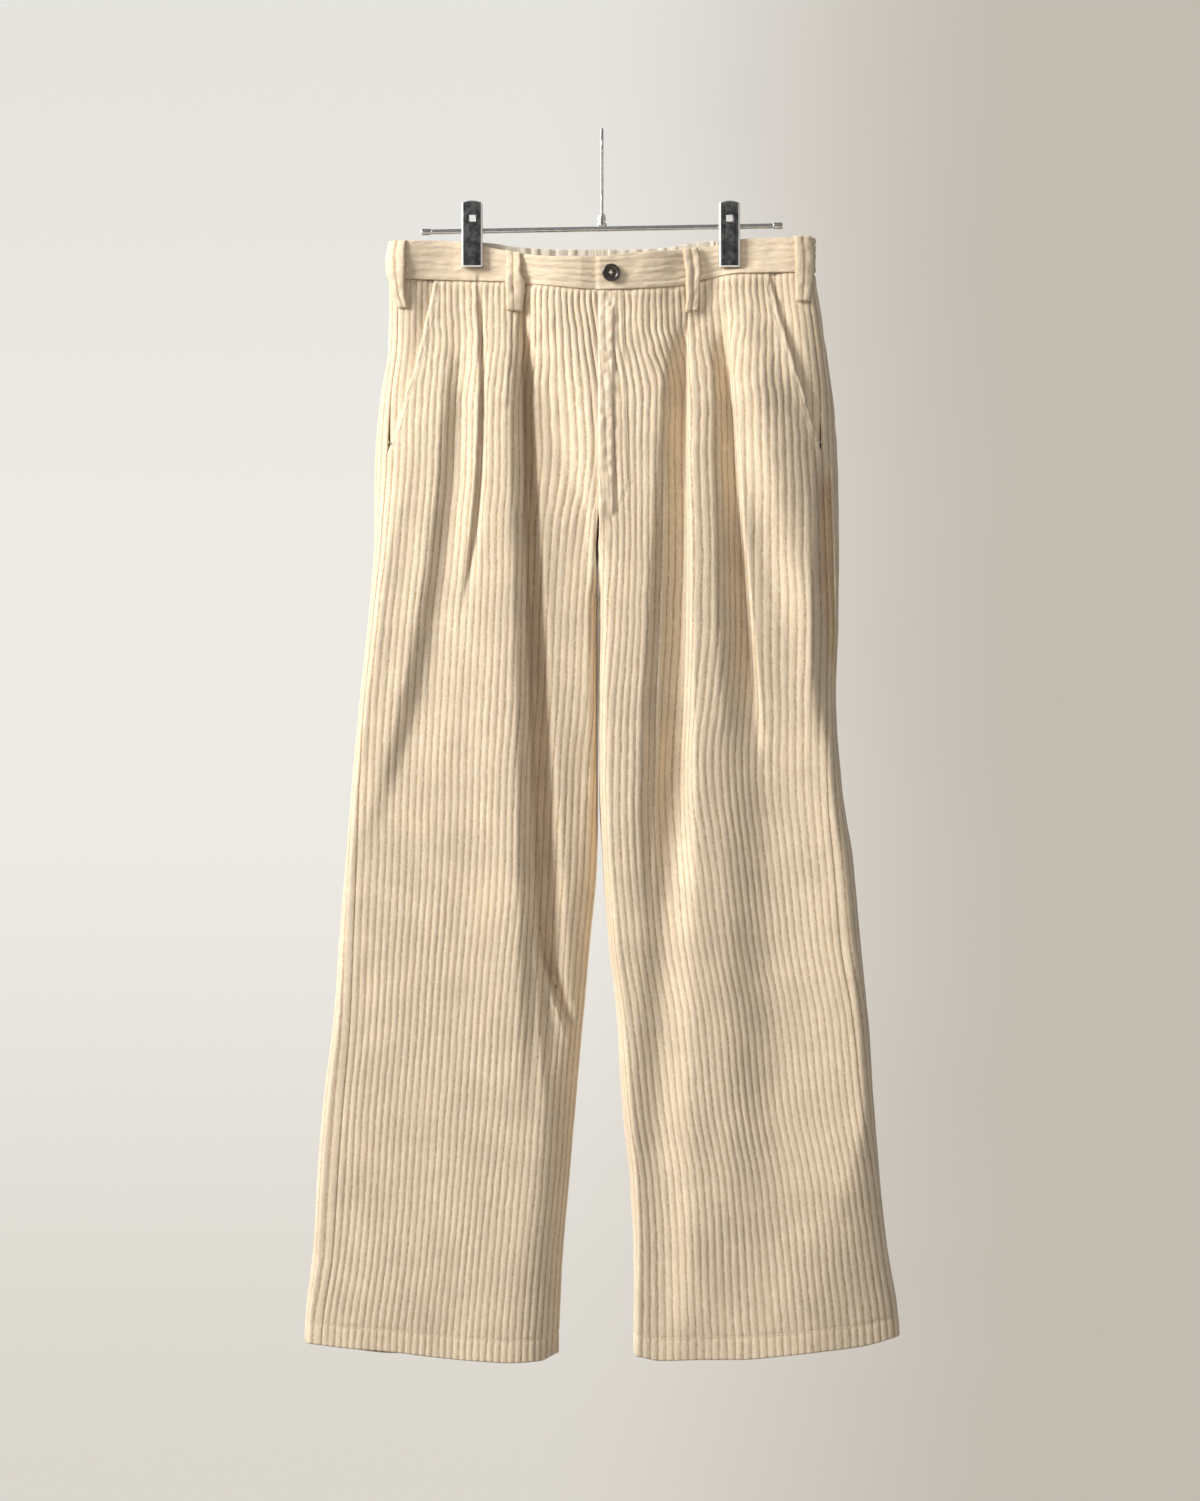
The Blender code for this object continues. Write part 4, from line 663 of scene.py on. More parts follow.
def closed_mesh(name, points, faces, marks=None, inside=0):
    """A smooth closed mesh, normals outwards. marks gives each point's UV; the last faces are inside."""
    mesh = bpy.data.meshes.new(name)
    mesh.from_pydata([Vector(p) for p in np.asarray(points) * MM], [], faces)
    kinds = np.zeros(len(faces), dtype=np.int32)
    if inside:
        kinds[-inside:] = 1
    mesh.polygons.foreach_set("material_index", kinds)
    shell = bmesh.new()
    shell.from_mesh(mesh)
    bmesh.ops.recalc_face_normals(shell, faces=shell.faces)
    if shell.calc_volume(signed=True) < 0:
        bmesh.ops.reverse_faces(shell, faces=shell.faces)
    shell.to_mesh(mesh)
    shell.free()
    if marks is not None:
        layer = mesh.uv_layers.new(name="wales")
        corners = np.empty(len(mesh.loops), dtype=np.int32)
        mesh.loops.foreach_get("vertex_index", corners)
        layer.data.foreach_set("uv", np.asarray(marks, np.float32)[corners].ravel())
    smooth(mesh, 62)
    return mesh


def smooth(mesh, sharp_degrees):
    mesh.shade_smooth()
    mesh.set_sharp_from_angle(angle=math.radians(sharp_degrees))


def evaluated_mesh(thing, *helpers):
    """The mesh of an object with its modifiers applied; the object and its helpers are removed."""
    mesh = bpy.data.meshes.new_from_object(thing.evaluated_get(bpy.context.evaluated_depsgraph_get()))
    for piece in (thing, *helpers):
        bpy.data.objects.remove(piece, do_unlink=True)
    return mesh


def add_piece(name, mesh, slot, materials, *nodes):
    """Links a piece, which rides on the one body and stands for the named nodes."""
    piece = bpy.data.objects.new(name, mesh)
    mesh.materials.clear()
    for material in materials:
        mesh.materials.append(material)
    link(piece)
    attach(piece, "root")
    if nodes:
        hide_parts(*nodes)
    return piece


def hard_piece(name, shape, slot, material, *nodes):
    return add_piece(name, closed_mesh(name, *shape), slot, [material], *nodes)


def tube_faces(rings, sides):
    """Quads between rings of points, and a cap at each end."""
    faces = []
    for start in range(0, (rings - 1) * sides, sides):
        for n in range(sides):
            m = (n + 1) % sides
            faces.append((start + n, start + m, start + sides + m, start + sides + n))
    return faces + [tuple(range(sides)), tuple(range((rings - 1) * sides, rings * sides))]


def sweep(path, radius, sides=10):
    """Points and faces of a closed round tube along a path."""
    path = np.asarray(path, float)
    tangents = np.gradient(path, axis=0)
    tangents /= np.linalg.norm(tangents, axis=1, keepdims=True)
    side = np.cross(tangents[0], (0.0, 1.0, 0.0) if abs(tangents[0][1]) < 0.9 else (1.0, 0.0, 0.0))
    angles = np.linspace(0, 2 * math.pi, sides, endpoint=False)
    points = []
    for place, tangent, r in zip(path, tangents, np.broadcast_to(radius, len(path))):
        side = side - tangent * side.dot(tangent)
        side = side / np.linalg.norm(side)
        other = np.cross(tangent, side)
        points.append(place + r * (np.cos(angles)[:, None] * side + np.sin(angles)[:, None] * other))
    return np.concatenate(points), tube_faces(len(path), sides)


def lathe(profile, place=(0, 0, 0), along_x=False, sides=40):
    """Points and faces of a turned piece: profile is (radius, height) from end to end of its axis."""
    angles = np.linspace(0, 2 * math.pi, sides, endpoint=False)
    points = np.concatenate([as_points(r * np.cos(angles), r * np.sin(angles), np.full(sides, h))
                             for r, h in profile])
    if along_x:
        points = points[:, [2, 1, 0]]
    return points + np.asarray(place, float), tube_faces(len(profile), sides)


def merged(pieces):
    """One list of points and faces from several."""
    points, faces, count = [], [], 0
    for more_points, more_faces in pieces:
        points.append(more_points)
        faces += [tuple(v + count for v in face) for face in more_faces]
        count += len(more_points)
    return np.concatenate(points), faces


# ---- leg panels
def steps_between(low, high, step):
    """The multiples of step between low and high, with both ends."""
    first = math.floor(low / step + 0.3) + 1
    inside = [n * step for n in range(first, int(high / step + 1e-6) + 1) if n * step < high - 0.3 * step]
    return np.array([low] + inside + [high])


def panel_row(curve, keys, shown, x, y, z):
    """A row with its UVs: wales across, and its length down the cloth in units of ten millimetres."""
    marks = as_points(shown, np.full(len(shown), -curve.z / 10.0))
    return Row(-curve.z, keys, as_points(x, y, z), marks)


def panel_z(z):
    return min(z, Z_WAIST - SEAM_GAP / 2)


def front_row(curve, wales, out, shift=0.0, crushed=0.0):
    """One row of a front sheet. Where the pile is crushed its colour is a crown's right across the wales,
    without the grooves' painted shade and with the crowns' painted highlight.
    """
    x, y = curve_point(curve, front_at(curve, wales + shift), out)
    shown = wales + crushed * (np.floor(wales) + 0.5 - wales)
    return panel_row(curve, wales, shown, x, y, lifted_z(panel_z(curve.z), x, "front"))


def back_row(curve, wales, out, shift=0.0):
    at = back_at(curve, wales + shift)
    x, y = curve_point(curve, at, out)
    return panel_row(curve, wales, wales, x, y, back_z(curve, panel_z(curve.z), x, at))


def crushed_pile(curve, wales, last, shift):
    """How far the pile is crushed: on the fly's edge strip and along the pocket mouth."""
    on_strip = 0.0
    if curve.side == LEFT:
        x = np.interp(front_at(curve, wales + shift), curve.length, curve.x)
        above_end = smoothstep(Z_FLY_END, Z_FLY_END + 14, curve.z)
        on_strip = below(Z_WAIST, Z_WAIST - 20, curve.z) * above_end * (1 - past_strip(x))
    if curve.z <= Z_POCKET_END:
        return on_strip * 0.8
    edge = (last - wales) * curve.pitch
    return 0.8 * np.maximum(on_strip, 1 - smoothstep(POCKET_STITCH - 1, POCKET_STITCH + 3, edge))


def front_out(curve, wales, last, shift, ribbed=True):
    """Height of the front's outer face over its ground."""
    seed = SEEDS["front", curve.side]
    near, far = WAIST_RIB[curve.side]
    scale = rib_scale(curve.z, near + (far - near) * smoothstep(9, 18, wales))
    drop = edge_drop(curve.z)
    if curve.z > Z_POCKET_END:
        edge = (last - wales) * curve.pitch
        crushed = 1 - smoothstep(POCKET_STITCH - 2, POCKET_STITCH + 2, edge)
        scale = scale * (1 - 0.7 * crushed)
        drop = drop + rolled(edge, 1.6) - 0.4 * bell(edge - POCKET_STITCH, 1.5)
        drop = drop + crushed * (0.2 + 0.6 * soft_noise(edge / 2.4, curve.z / 5, seed + 5))
        gape = math.sin(math.pi * pocket_share(curve.z)) ** 2
        drop = drop + POCKET_GAPE[curve.side] * gape * bell(edge, 9)
    at = front_at(curve, wales + shift)
    above = smoothstep(Z_CROTCH + 10, Z_CROTCH + 50, curve.z)
    if curve.side == LEFT:
        x = np.interp(at, curve.length, curve.x)
        on_strip = above * (1 - past_strip(x))
        scale = scale * (1 - (1 - FLY_STRIP_RIB) * on_strip)
        drop = drop + fly_relief(x, curve.z) + rolled(at, 2.2) * above
        drop = drop + on_strip * 0.9 * soft_noise(at / 4.5, curve.z / 4.5, seed + 8)
    else:
        drop = drop - above * (1.3 + 2.2 * bell(curve.z - Z_CREASE, 60)) * bell(at, 5)
    uneven = relief(wales, curve.first, FRONT_WALES, curve.z, seed)
    wale_height = rib(wales) * brushed(wales, curve.z, seed) if ribbed else 0.8 * FINE_RIB
    return (wale_height * scale + uneven) * (1 - pressed(curve, at)) + drop


def panel_wall(z):
    return WALL + (HEM_WALL - WALL) * below(Z_HEM + HEM_STITCH + 4, Z_HEM + HEM_STITCH - 4, z)


def front_panel_row(curve, step, is_outer):
    last = pocket_wale(curve)
    wales = steps_between(curve.first, last, step)
    shift = front_shift(curve, wales)
    if is_outer:
        out = front_out(curve, wales, last, shift)
        return front_row(curve, wales, out, shift, crushed_pile(curve, wales, last, shift))
    uneven = relief(wales, curve.first, FRONT_WALES, curve.z, SEEDS["front", curve.side])
    return front_row(curve, wales, uneven * (1 - pressed(curve, 0.0)) - panel_wall(curve.z), shift)


def back_panel_row(curve, step, is_outer):
    z, last, seed = curve.z, curve.back_last, SEEDS["back", curve.side]
    wales = steps_between(0, last, step)
    base = gather_wave(wales * BACK_WALES / last, z) + relief(wales, 0, last, z, seed)
    out = base - panel_wall(z)
    if is_outer:
        flat = pressed(curve, back_at(curve, wales))
        out = (rib(wales) * brushed(wales, z, seed) * rib_scale(z) + base) * (1 - flat) + edge_drop(z)
    return back_row(curve, wales, out, wobble(wales, 0, last, z, seed))


def pocket_facing_row(curve, step, is_outer):
    """The strip of corduroy that shows outside the slanted pocket mouth, under the front's edge."""
    mouth = min(pocket_wale(curve), FRONT_WALES - POCKET_FOOT)
    down = pocket_share(curve.z)
    wales = steps_between(mouth - POCKET_UNDERLAP, FRONT_WALES - POCKET_TAPER * down, step)
    drop = (POCKET_DROP + POCKET_DEEPER * down) * (1 - smoothstep(mouth, mouth + POCKET_RISE, wales))
    if not is_outer:
        return front_row(curve, wales, -WALL - drop)
    scale = smoothstep(mouth - 0.6, mouth + 0.6, wales) * rib_scale(curve.z)
    return front_row(curve, wales, rib(wales) * scale * POCKET_RIB + edge_drop(curve.z) - drop)


def panel_mesh(name, side, heights, make_row):
    """A panel's wall: a row at each height outside, and at every other one and the last inside."""
    outer = [make_row(curves[side][z], WALE_STEP, True) for z in heights]
    inner_heights = [z for n, z in enumerate(heights) if n % 2 == 0 or z == heights[-1]]
    return wall_mesh(name, outer, [make_row(curves[side][z], INSIDE_STEP, False) for z in inner_heights])


def panel_heights():
    """Heights of the fine rows: close together at the waist seam, the stitching and the hem."""
    fixed = [Z_WAIST - d for d in EDGE_ROWS] + [Z_HEM + d for d in EDGE_ROWS]
    fixed += [Z_HEM + HEM_STITCH + d for d in (-3.2, -1.6, 0.0, 1.6, 3.2)] + [Z_POCKET_END]
    even = list(np.arange(Z_WAIST - HIP_ROW_STEP, Z_HIP_ROWS, -HIP_ROW_STEP))
    even += list(np.arange(Z_HIP_ROWS, Z_HEM, -ROW_STEP))
    even = [z for z in even if min(abs(z - f) for f in fixed) > 0.45 * HIP_ROW_STEP]
    return sorted(fixed + even, reverse=True)


# ---- waistband
def band_out(level, along, seed):
    """The waistband's outer face: pressed crosswise wales between rolled edges."""
    height = Z_BAND_TOP - Z_WAIST
    mm_down = level / BAND_WALES * height
    uneven = soft_noise(along / 11, level * 0.9, seed) * 0.35
    uneven = uneven + soft_noise(along / 30, level * 0.3, seed + 1) * 0.45
    knots = soft_noise(along / 8, level * 3.1, seed + 4) * 0.3
    ribs = rib(level + 0.09 * soft_noise(along / 14, level, seed + 2), BAND_RIB)
    ribs = ribs * (0.65 + 0.6 * soft_noise(along / 9, level, seed + 3))
    return BAND_PROUD + ribs + uneven + knots + rolled(min(mm_down, height - mm_down), 1.0)


def band_curves(z):
    key = round(z, 3)
    if key not in band_cache:
        band_cache[key] = {side: section_curve(side, z) for side in SIDES}
    return band_cache[key]


def band_rows(levels, make_points):
    """Rows of a waistband sheet from its top edge down. make_points gives a row's keys, points and run."""
    rows = []
    for level in levels:
        z = Z_BAND_TOP + (Z_WAIST + SEAM_GAP / 2 - Z_BAND_TOP) * level / BAND_WALES
        wales, points, along = make_points(band_curves(z), level)
        rows.append(Row(level, wales, points, as_points(np.full(len(wales), level), along / 10.0)))
    return rows


def front_band_rows(side, levels, columns, is_outer):
    """One front waistband; the right one runs on under the left one, behind the button."""
    start = FLY_TURN if side == RIGHT else 0.0
    under = np.linspace(*FLY_UNDER_X, 14) if side == RIGHT else np.array([])

    def points(pair, level):
        curve = pair[side]
        at = start + (curve.seam - SEAM_GAP / 2 - start) * columns
        out = np.full(len(at), BAND_PROUD - BAND_WALL)
        if is_outer:
            out = band_out(level, at, SEEDS["band", side])
        if side == LEFT and is_outer:
            out = out + rolled(at)
        x, y = curve_point(curve, at, out)
        if side == LEFT:
            x[0] = FLY_EDGE_X
        under_y = [front_y(LEFT if ux > X_MID else RIGHT, np.array([ux]), curve.z)[0] for ux in under]
        under_out = BAND_PROUD + rib(level, BAND_RIB) if is_outer else BAND_PROUD - BAND_WALL
        x = np.concatenate((under, x))
        y = np.concatenate((np.array(under_y) - under_out + FLY_DROP, y))
        keys = np.concatenate((-(under - X_MID + FLY_TURN) / curve.seam, columns))
        return keys, as_points(x, y, lifted_z(curve.z, x, "front")), np.concatenate((-under, at))

    return band_rows(levels, points)


def make_front_band(side):
    outer = front_band_rows(side, BAND_LEVELS, np.linspace(0, 1, 201), True)
    inner = front_band_rows(side, np.arange(BAND_WALES + 1), np.linspace(0, 1, 36), False)
    return wall_mesh("waistband_front_" + SIDE_NAME[side], outer, inner)


def back_band_rows(levels, wales, out_at):
    """Rows right round the back from outseam to outseam; wales counts from the left outseam.

    out_at gives the height of the face from the wale counted from either outseam, the run and the level.
    """
    def points_at(pair, level):
        points, along = [], []
        for side, part in ((LEFT, wales[wales <= BACK_WALES]), (RIGHT, wales[wales > BACK_WALES])):
            curve = pair[side]
            count = part if side == LEFT else 2 * BACK_WALES - part
            at = curve.back_start + (curve.total - curve.back_start) * count / BACK_WALES
            x, y = curve_point(curve, at, out_at(count, at * side, level))
            points.append(as_points(x, y, back_z(curve, curve.z, x, at)))
            along.append(at * side)
        return wales, np.concatenate(points), np.concatenate(along)

    return band_rows(levels, points_at)


def level_at(out):
    return lambda count, at, level: np.full(len(at), out)


def make_back_band():
    """The elastic back of the waistband, gathered over a plain inside."""
    def gathered(count, at, level):
        return band_out(level, at, SEEDS["band", 0]) + gather_wave(count, Z_WAIST)

    outer = back_band_rows(BAND_LEVELS, np.linspace(0, 2 * BACK_WALES, 12 * BACK_WALES + 1), gathered)
    inner = back_band_rows((0, BAND_WALES / 2, BAND_WALES), np.arange(2 * BACK_WALES + 1),
                           level_at(BAND_PROUD - ELASTIC_WALL))
    return wall_mesh("waistband_back", outer, inner)


def make_back_facing():
    """The plain cotton inside of the elastic back, gathered on its free face."""
    lining = BAND_PROUD - ELASTIC_WALL - SEAM_GAP
    seed = SEEDS["facing", 0]
    span = FACING_START, 2 * BACK_WALES - FACING_START

    def creased(count, at, level):
        wave = gather_wave(count, Z_WAIST) * FACING_GATHER * 0.4
        place = count * FACING_PUFFS + 0.6 * soft_noise(count / 1.9, level * 0.15, seed + 2)
        fullness = 0.6 + 0.5 * soft_noise(count / 2.7, level * 0.1, seed + 3)
        puff = fullness * np.abs(np.sin(math.pi * place)) ** 0.6 - 0.7
        crease = soft_noise(at / 2.2, level * 0.5, seed) * 0.25
        crease = crease + soft_noise(at / 9, level * 0.3, seed + 1) * 0.4
        edge = rolled(min(level, BAND_WALES - level) * BAND_PITCH, 1.0)
        return lining - FACING_WALL - wave - puff + crease - edge

    levels = FACING_TOP + (BAND_WALES - FACING_TOP) * np.array(
        (0, 0.012, 0.03, 0.06, 0.12, 0.2, 0.35, 0.5, 0.7, 0.9, 1))
    outer = back_band_rows(levels, np.linspace(*span, 700), creased)
    return wall_mesh("waistband_back_facing", outer,
                     back_band_rows(levels[[0, 5, 10]], np.linspace(*span, 61), level_at(lining)))


def make_belt_loop(loop):
    """A strip of two wales that stands a little off the waistband and is folded under at its foot."""
    z_top, z_bottom = Z_BAND_TOP + LOOP_RISE, Z_WAIST - LOOP_BELOW_SEAM
    length = z_top - z_bottom
    order = loop.side if loop.face == "front" else -loop.side
    clear = BAND_PROUD + RIB + SEAM_GAP + (0 if loop.face == "front" else GATHER)
    sheets = [], []
    for down in np.unique(np.concatenate((np.linspace(0, 1, 40), (0.006, 0.016, 0.03, 0.97, 0.984, 0.994)))):
        z = z_top - length * down
        curve = band_curves(z)[loop.side]
        half = (curve.length <= curve.total / 2) == (loop.face == "front")
        middle = np.interp(order * loop.x, order * curve.x[half], curve.length[half])
        off = clear + loop.arch * math.sin(math.pi * down)
        from_end = min(down, 1 - down) * length
        narrow = 1 - (1 - loop.foot) * smoothstep(0.25, 0.95, down)
        aside = loop.side * (loop.lean * down + loop.bulge * math.sin(math.pi * down)) / (LOOP_WIDTH / 2)
        for rows, count in zip(sheets, (29, 7)):
            across = np.linspace(-1.0, 1.0, count)
            out = np.full(count, off)
            if rows is sheets[0]:
                edge = rolled((1 - np.abs(across)) * LOOP_WIDTH / 2 * narrow, LOOP_ROLL)
                knots = 0.6 * soft_noise(across * 1.6 + 9, down * 10, loop.seed + 1)
                out = off + LOOP_WALL + rib(across, 0.75) + edge + rolled(from_end, LOOP_ROLL) + knots
                out = np.maximum(out, off + 0.1)
            elif from_end >= 0.5 and int(down * 40) % 4:
                continue
            sway = across * narrow + aside + 0.08 * soft_noise(down * 5, loop.seed, loop.seed)
            x, y = curve_point(curve, middle + sway * LOOP_WIDTH / 2, out)
            marks = as_points(across, np.full(count, length * down / 10.0))
            rows.append(Row(down, across, as_points(x, y, lifted_z(z, x, loop.face)), marks))
    return wall_mesh(loop.name, *sheets)


# ---- stitching
STITCH_LENGTH, STITCH_GAP, THREAD_RADIUS = 3.0, 1.0, 0.32
TACK_LENGTH, TACK_WIDTH, TACK_RADIUS = 9.0, 2.2, 0.34
FLY_TACK_LENGTH, FLY_TACK_Z = 10.0, (-338, -322)  # the second: heights that the fly's bartack lies between
POCKET_TACK_Z = (Z_POCKET_END + 1, Z_POCKET_END + 12)
POCKET_TACK_IN = 0.35  # wales from the pocket mouth


def stitches(path, outward):
    """A run of separate stitches along a path; each dips into the cloth at both its ends."""
    run = np.concatenate(([0.0], np.cumsum(np.linalg.norm(np.diff(path, axis=0), axis=1))))
    made = []
    for start in np.arange(0.0, run[-1] - STITCH_LENGTH, STITCH_LENGTH + STITCH_GAP):
        at = start + STITCH_LENGTH * np.linspace(0.0, 1.0, 6)
        line, away = (as_points(*(np.interp(at, run, column) for column in values.T))
                      for values in (path, outward))
        lift = THREAD_RADIUS * (1.1 * np.sin(math.pi * np.linspace(0, 1, 6)) ** 0.5 - 0.8)
        made.append(sweep(line + away * lift[:, None], THREAD_RADIUS, 6))
    return made


def surface_line(low, high):
    """A path between two offset copies of a line, with its outward directions."""
    outward = high - low
    return low, outward / np.linalg.norm(outward, axis=1, keepdims=True)


def hem_stitching(side):
    """The stitching right round one hem, over the wales of front and back."""
    z = min(HEIGHTS, key=lambda h: abs(h - Z_HEM - HEM_STITCH))
    curve = curves[side][z]
    made = []
    for make_row, count, kind in ((front_row, FRONT_WALES, "front"), (back_row, BACK_WALES, "back")):
        seed = SEEDS[kind, side]
        wales = np.linspace(0.3, count - 0.3, 12 * count)
        shift = wobble(wales, 0, count, z, seed)
        base = relief(wales, 0, count, z, seed) + edge_drop(z)
        ribs = 0.9 * rib(wales) * rib_scale(z)
        low, high = (make_row(curve, wales, base + over + ribs, shift).points for over in (0.25, 1.25))
        made += stitches(*surface_line(low, high))
    return made


def front_line(side, z_low, z_high, wales_at, leaning=False):
    """A line down a front panel, as points just over its face, with the outward directions."""
    low, high = [], []
    for curve in (curves[side][z] for z in HEIGHTS if z_low < z < z_high):
        wale = np.array([wales_at(curve)])
        shift = front_shift(curve, wale) if leaning else np.zeros(1)
        out = front_out(curve, wale, pocket_wale(curve), shift, False) + 0.2
        low.append(front_row(curve, wale, out, shift).points[0])
        high.append(front_row(curve, wale, out + 1.0, shift).points[0])
    return surface_line(np.array(low), np.array(high))


def fly_wale(curve):
    """The wale of the left front under the fly's stitching, where none leans."""
    return wale_at_x(curve, float(smooth_curve(curve.z, FLY_STITCH)))


def bartack(line, along, across, length):
    """A close zigzag of thread, seen as a raised bar, at the middle of a line."""
    path, outward = line
    along, across = Vector(along) * length, Vector(across) * TACK_WIDTH
    points = [path.mean(axis=0) + along * s + across * (0.5 if n % 2 else -0.5)
              for n, s in enumerate(np.linspace(-0.5, 0.5, 9))]
    return sweep(np.array(points) + outward[0] * 0.25, TACK_RADIUS, 6)


def add_stitching():
    tacks = []
    for side in SIDES:
        tag = SIDE_NAME[side]
        hard_piece("hem_stitch_" + tag, merged(hem_stitching(side)), "corduroy", thread)
        line = front_line(side, Z_POCKET_END + 2, Z_WAIST - 3,
                          lambda curve: pocket_wale(curve) - POCKET_STITCH / curve.pitch, True)
        hard_piece("pocket_stitch_" + tag, merged(stitches(*line)), "corduroy", thread)
        foot = front_line(side, *POCKET_TACK_Z, lambda curve: pocket_wale(curve) - POCKET_TACK_IN, True)
        tacks.append(bartack(foot, (side * -0.85, 0, -0.5), (0.5, 0, -side * 0.85), TACK_LENGTH))
    foot = front_line(LEFT, *FLY_TACK_Z, fly_wale)
    tacks.append(bartack(foot, (0.9, 0, 0.35), (-0.35, 0, 0.9), FLY_TACK_LENGTH))
    hard_piece("bartacks", merged(tacks), "corduroy", thread)
    line = front_line(LEFT, Z_FLY_END, Z_WAIST - 3, fly_wale)
    hard_piece("fly_stitch", merged(stitches(*line)), "corduroy", thread)


# ---- hanger
BAR_RISE = (BAR_Z_LEFT_END - BAR_Z_RIGHT_END) / (2 * BAR_HALF)  # of the bar, for each millimetre of x


def bar_z(x):
    return (BAR_Z_LEFT_END + BAR_Z_RIGHT_END) / 2 + x * BAR_RISE


def bar_rod(radius, low, high, edge):
    """A rod with rounded ends, laid along the hanger's bar."""
    turn = np.linspace(0, math.pi / 2, 6)
    start = [(radius - edge + edge * math.sin(a), low + edge - edge * math.cos(a)) for a in turn]
    points, faces = lathe(start + [(r, low + high - h) for r, h in reversed(start)], along_x=True)
    x, y, z = points.T
    return as_points(x, y + BAR_Y, z + bar_z(0) + x * BAR_RISE), faces


def make_bar():
    bar = bar_rod(BAR_RADIUS, -BAR_HALF, BAR_HALF, 0.4)
    hard_piece("hanger_bar_rod", bar, "chrome", chrome, "hanger_bar")
    for side, tag in SIDE_NAME.items():
        low = BAR_HALF + SEAM_GAP if side == LEFT else -BAR_HALF - SEAM_GAP - CAP_LENGTH
        hard_piece("hanger_cap_%s_turned" % tag, bar_rod(CAP_RADIUS, low, low + CAP_LENGTH, 0.9), "chrome",
                   chrome, "hanger_cap_" + tag)


def make_ferrule():
    r, h = FERRULE_RADIUS, FERRULE_LENGTH
    bore = WIRE_RADIUS + SEAM_GAP
    profile = ((bore, 0.2), (r + 0.4, 0.0), (r + 0.8, 0.4), (r + 0.8, 2.2), (r + 0.4, 2.5), (r - 0.5, 2.6),
               (r - 0.5, 5.6), (r, 5.7), (r + 0.2, 6.1), (r + 0.2, 7.4), (r, 7.8), (r - 0.5, 7.9),
               (r - 0.5, h - 1.3), (r - 0.8, h - 0.4), (r - 1.4, h), (bore, h - 0.1))
    place = (0, BAR_Y, bar_z(0) + BAR_RADIUS + SEAM_GAP)
    hard_piece("hanger_ferrule_turned", lathe(profile, place), "chrome", chrome, "hanger_ferrule")


def make_hook():
    """The wire: up from the ferrule, forward round the rail and over it to the tip behind."""
    angles = np.radians(np.linspace(HOOK_START_ANGLE, 180 + HOOK_TIP_ANGLE, 60))
    arc = as_points(np.zeros(60), -HOOK_RADIUS * np.cos(angles),
                    WIRE_RADIUS - HOOK_RADIUS + HOOK_RADIUS * np.sin(angles))
    stem = [(0.0, BAR_Y, z) for z in np.linspace(bar_z(0) + BAR_RADIUS + 2 * SEAM_GAP, NECK_Z, 12)]
    neck = [(0.0, BAR_Y + (arc[0][1] - BAR_Y) * smoothstep(0.0, 1.0, t), NECK_Z + (arc[0][2] - NECK_Z) * t)
            for t in np.linspace(0.06, 0.94, 16)]
    line = np.concatenate((stem, neck, arc))
    radii = np.full(len(line), WIRE_RADIUS)
    radii[-3:] = WIRE_RADIUS * np.array((0.97, 0.85, 0.5))
    hard_piece("hanger_hook_wire", sweep(line, radii, 16), "chrome", chrome, "hanger_hook")


def make_jaw(side, is_front):
    """A pressed-steel jaw: a plate with a window, its side edges turned to the cloth and round the bar."""
    node = "clip_%s_%s" % ("front" if is_front else "back", SIDE_NAME[side])
    low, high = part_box(node)
    out = -1 if is_front else 1
    plate_y = (low[1] if is_front else high[1]) / MM
    half = (CLIP_WIDTH if is_front else CLIP_INNER_WIDTH) / 2
    centre_z = bar_z(CLIP_X[side])
    hole_low = CLIP_HOLE_Z - CLIP_HOLE[1] / 2
    hole_top = CLIP_HOLE_Z + CLIP_HOLE[1] / 2 + (0 if is_front else CLIP_HOLE_TALLER)
    corner = [(-half + CLIP_CORNER * (1 - math.sin(a)), CLIP_CORNER * (1 - math.cos(a)))
              for a in np.linspace(0, math.pi / 2, 6)[::-1]]
    flat = [(x, 0.0) for x in (-CLIP_HOLE[0] / 2, 0.0, CLIP_HOLE[0] / 2)]
    across = corner + flat + [(-x, d) for x, d in corner[::-1]]
    heights = list(np.linspace(CLIP_Z_BOTTOM, hole_low, 24)) + [hole_top]
    heights += list(hole_top + (CLIP_Z_TOP - hole_top) * np.linspace(0.25, 1, 6))
    flange_top = centre_z + CLIP_FLANGE_RISE
    points, faces = [], []
    for z in heights:
        ear = bell(z - centre_z - CLIP_EAR_RISE, CLIP_EAR_REACH)
        depth = CLIP_FLANGE + CLIP_SHEET + (abs(BAR_Y - plate_y) + BAR_RADIUS - CLIP_FLANGE) * ear
        if z > flange_top:
            depth = depth * smoothstep(flange_top + 6, flange_top, z)
        depth = max(depth, CLIP_CORNER)
        share = max(0.0, (z - hole_top) / (CLIP_Z_TOP - hole_top))
        for x, d in [(-half, depth)] + across + [(half, depth)]:
            crown = CLIP_CROWN * (1 - math.sqrt(max(0.0, 1 - (x / half) ** 2)))
            points.append((CLIP_X[side] + x, plate_y - out * d, z - crown * share))
    count = len(across) + 2
    middle, hole_row = count // 2, heights.index(hole_low)
    for r in range(len(heights) - 1):
        for n in range(count - 1):
            if r != hole_row or n not in (middle - 1, middle):
                faces.append((r * count + n, r * count + n + 1, (r + 1) * count + n + 1, (r + 1) * count + n))
    mesh = bpy.data.meshes.new(node + "_plate")
    mesh.from_pydata([Vector(p) * MM for p in points], [], faces)
    shell = bpy.data.objects.new(node + "_shell", mesh)
    link(shell)
    solid = shell.modifiers.new("wall", "SOLIDIFY")
    solid.thickness, solid.offset = CLIP_SHEET * MM, (-1.0 if is_front else 1.0)
    bevel = shell.modifiers.new("edges", "BEVEL")
    bevel.width, bevel.segments, bevel.angle_limit = 0.22 * MM, 2, math.radians(50)
    made = evaluated_mesh(shell)
    smooth(made, 35)
    add_piece(node + "_plate", made, "chrome", [clip_chrome], node)


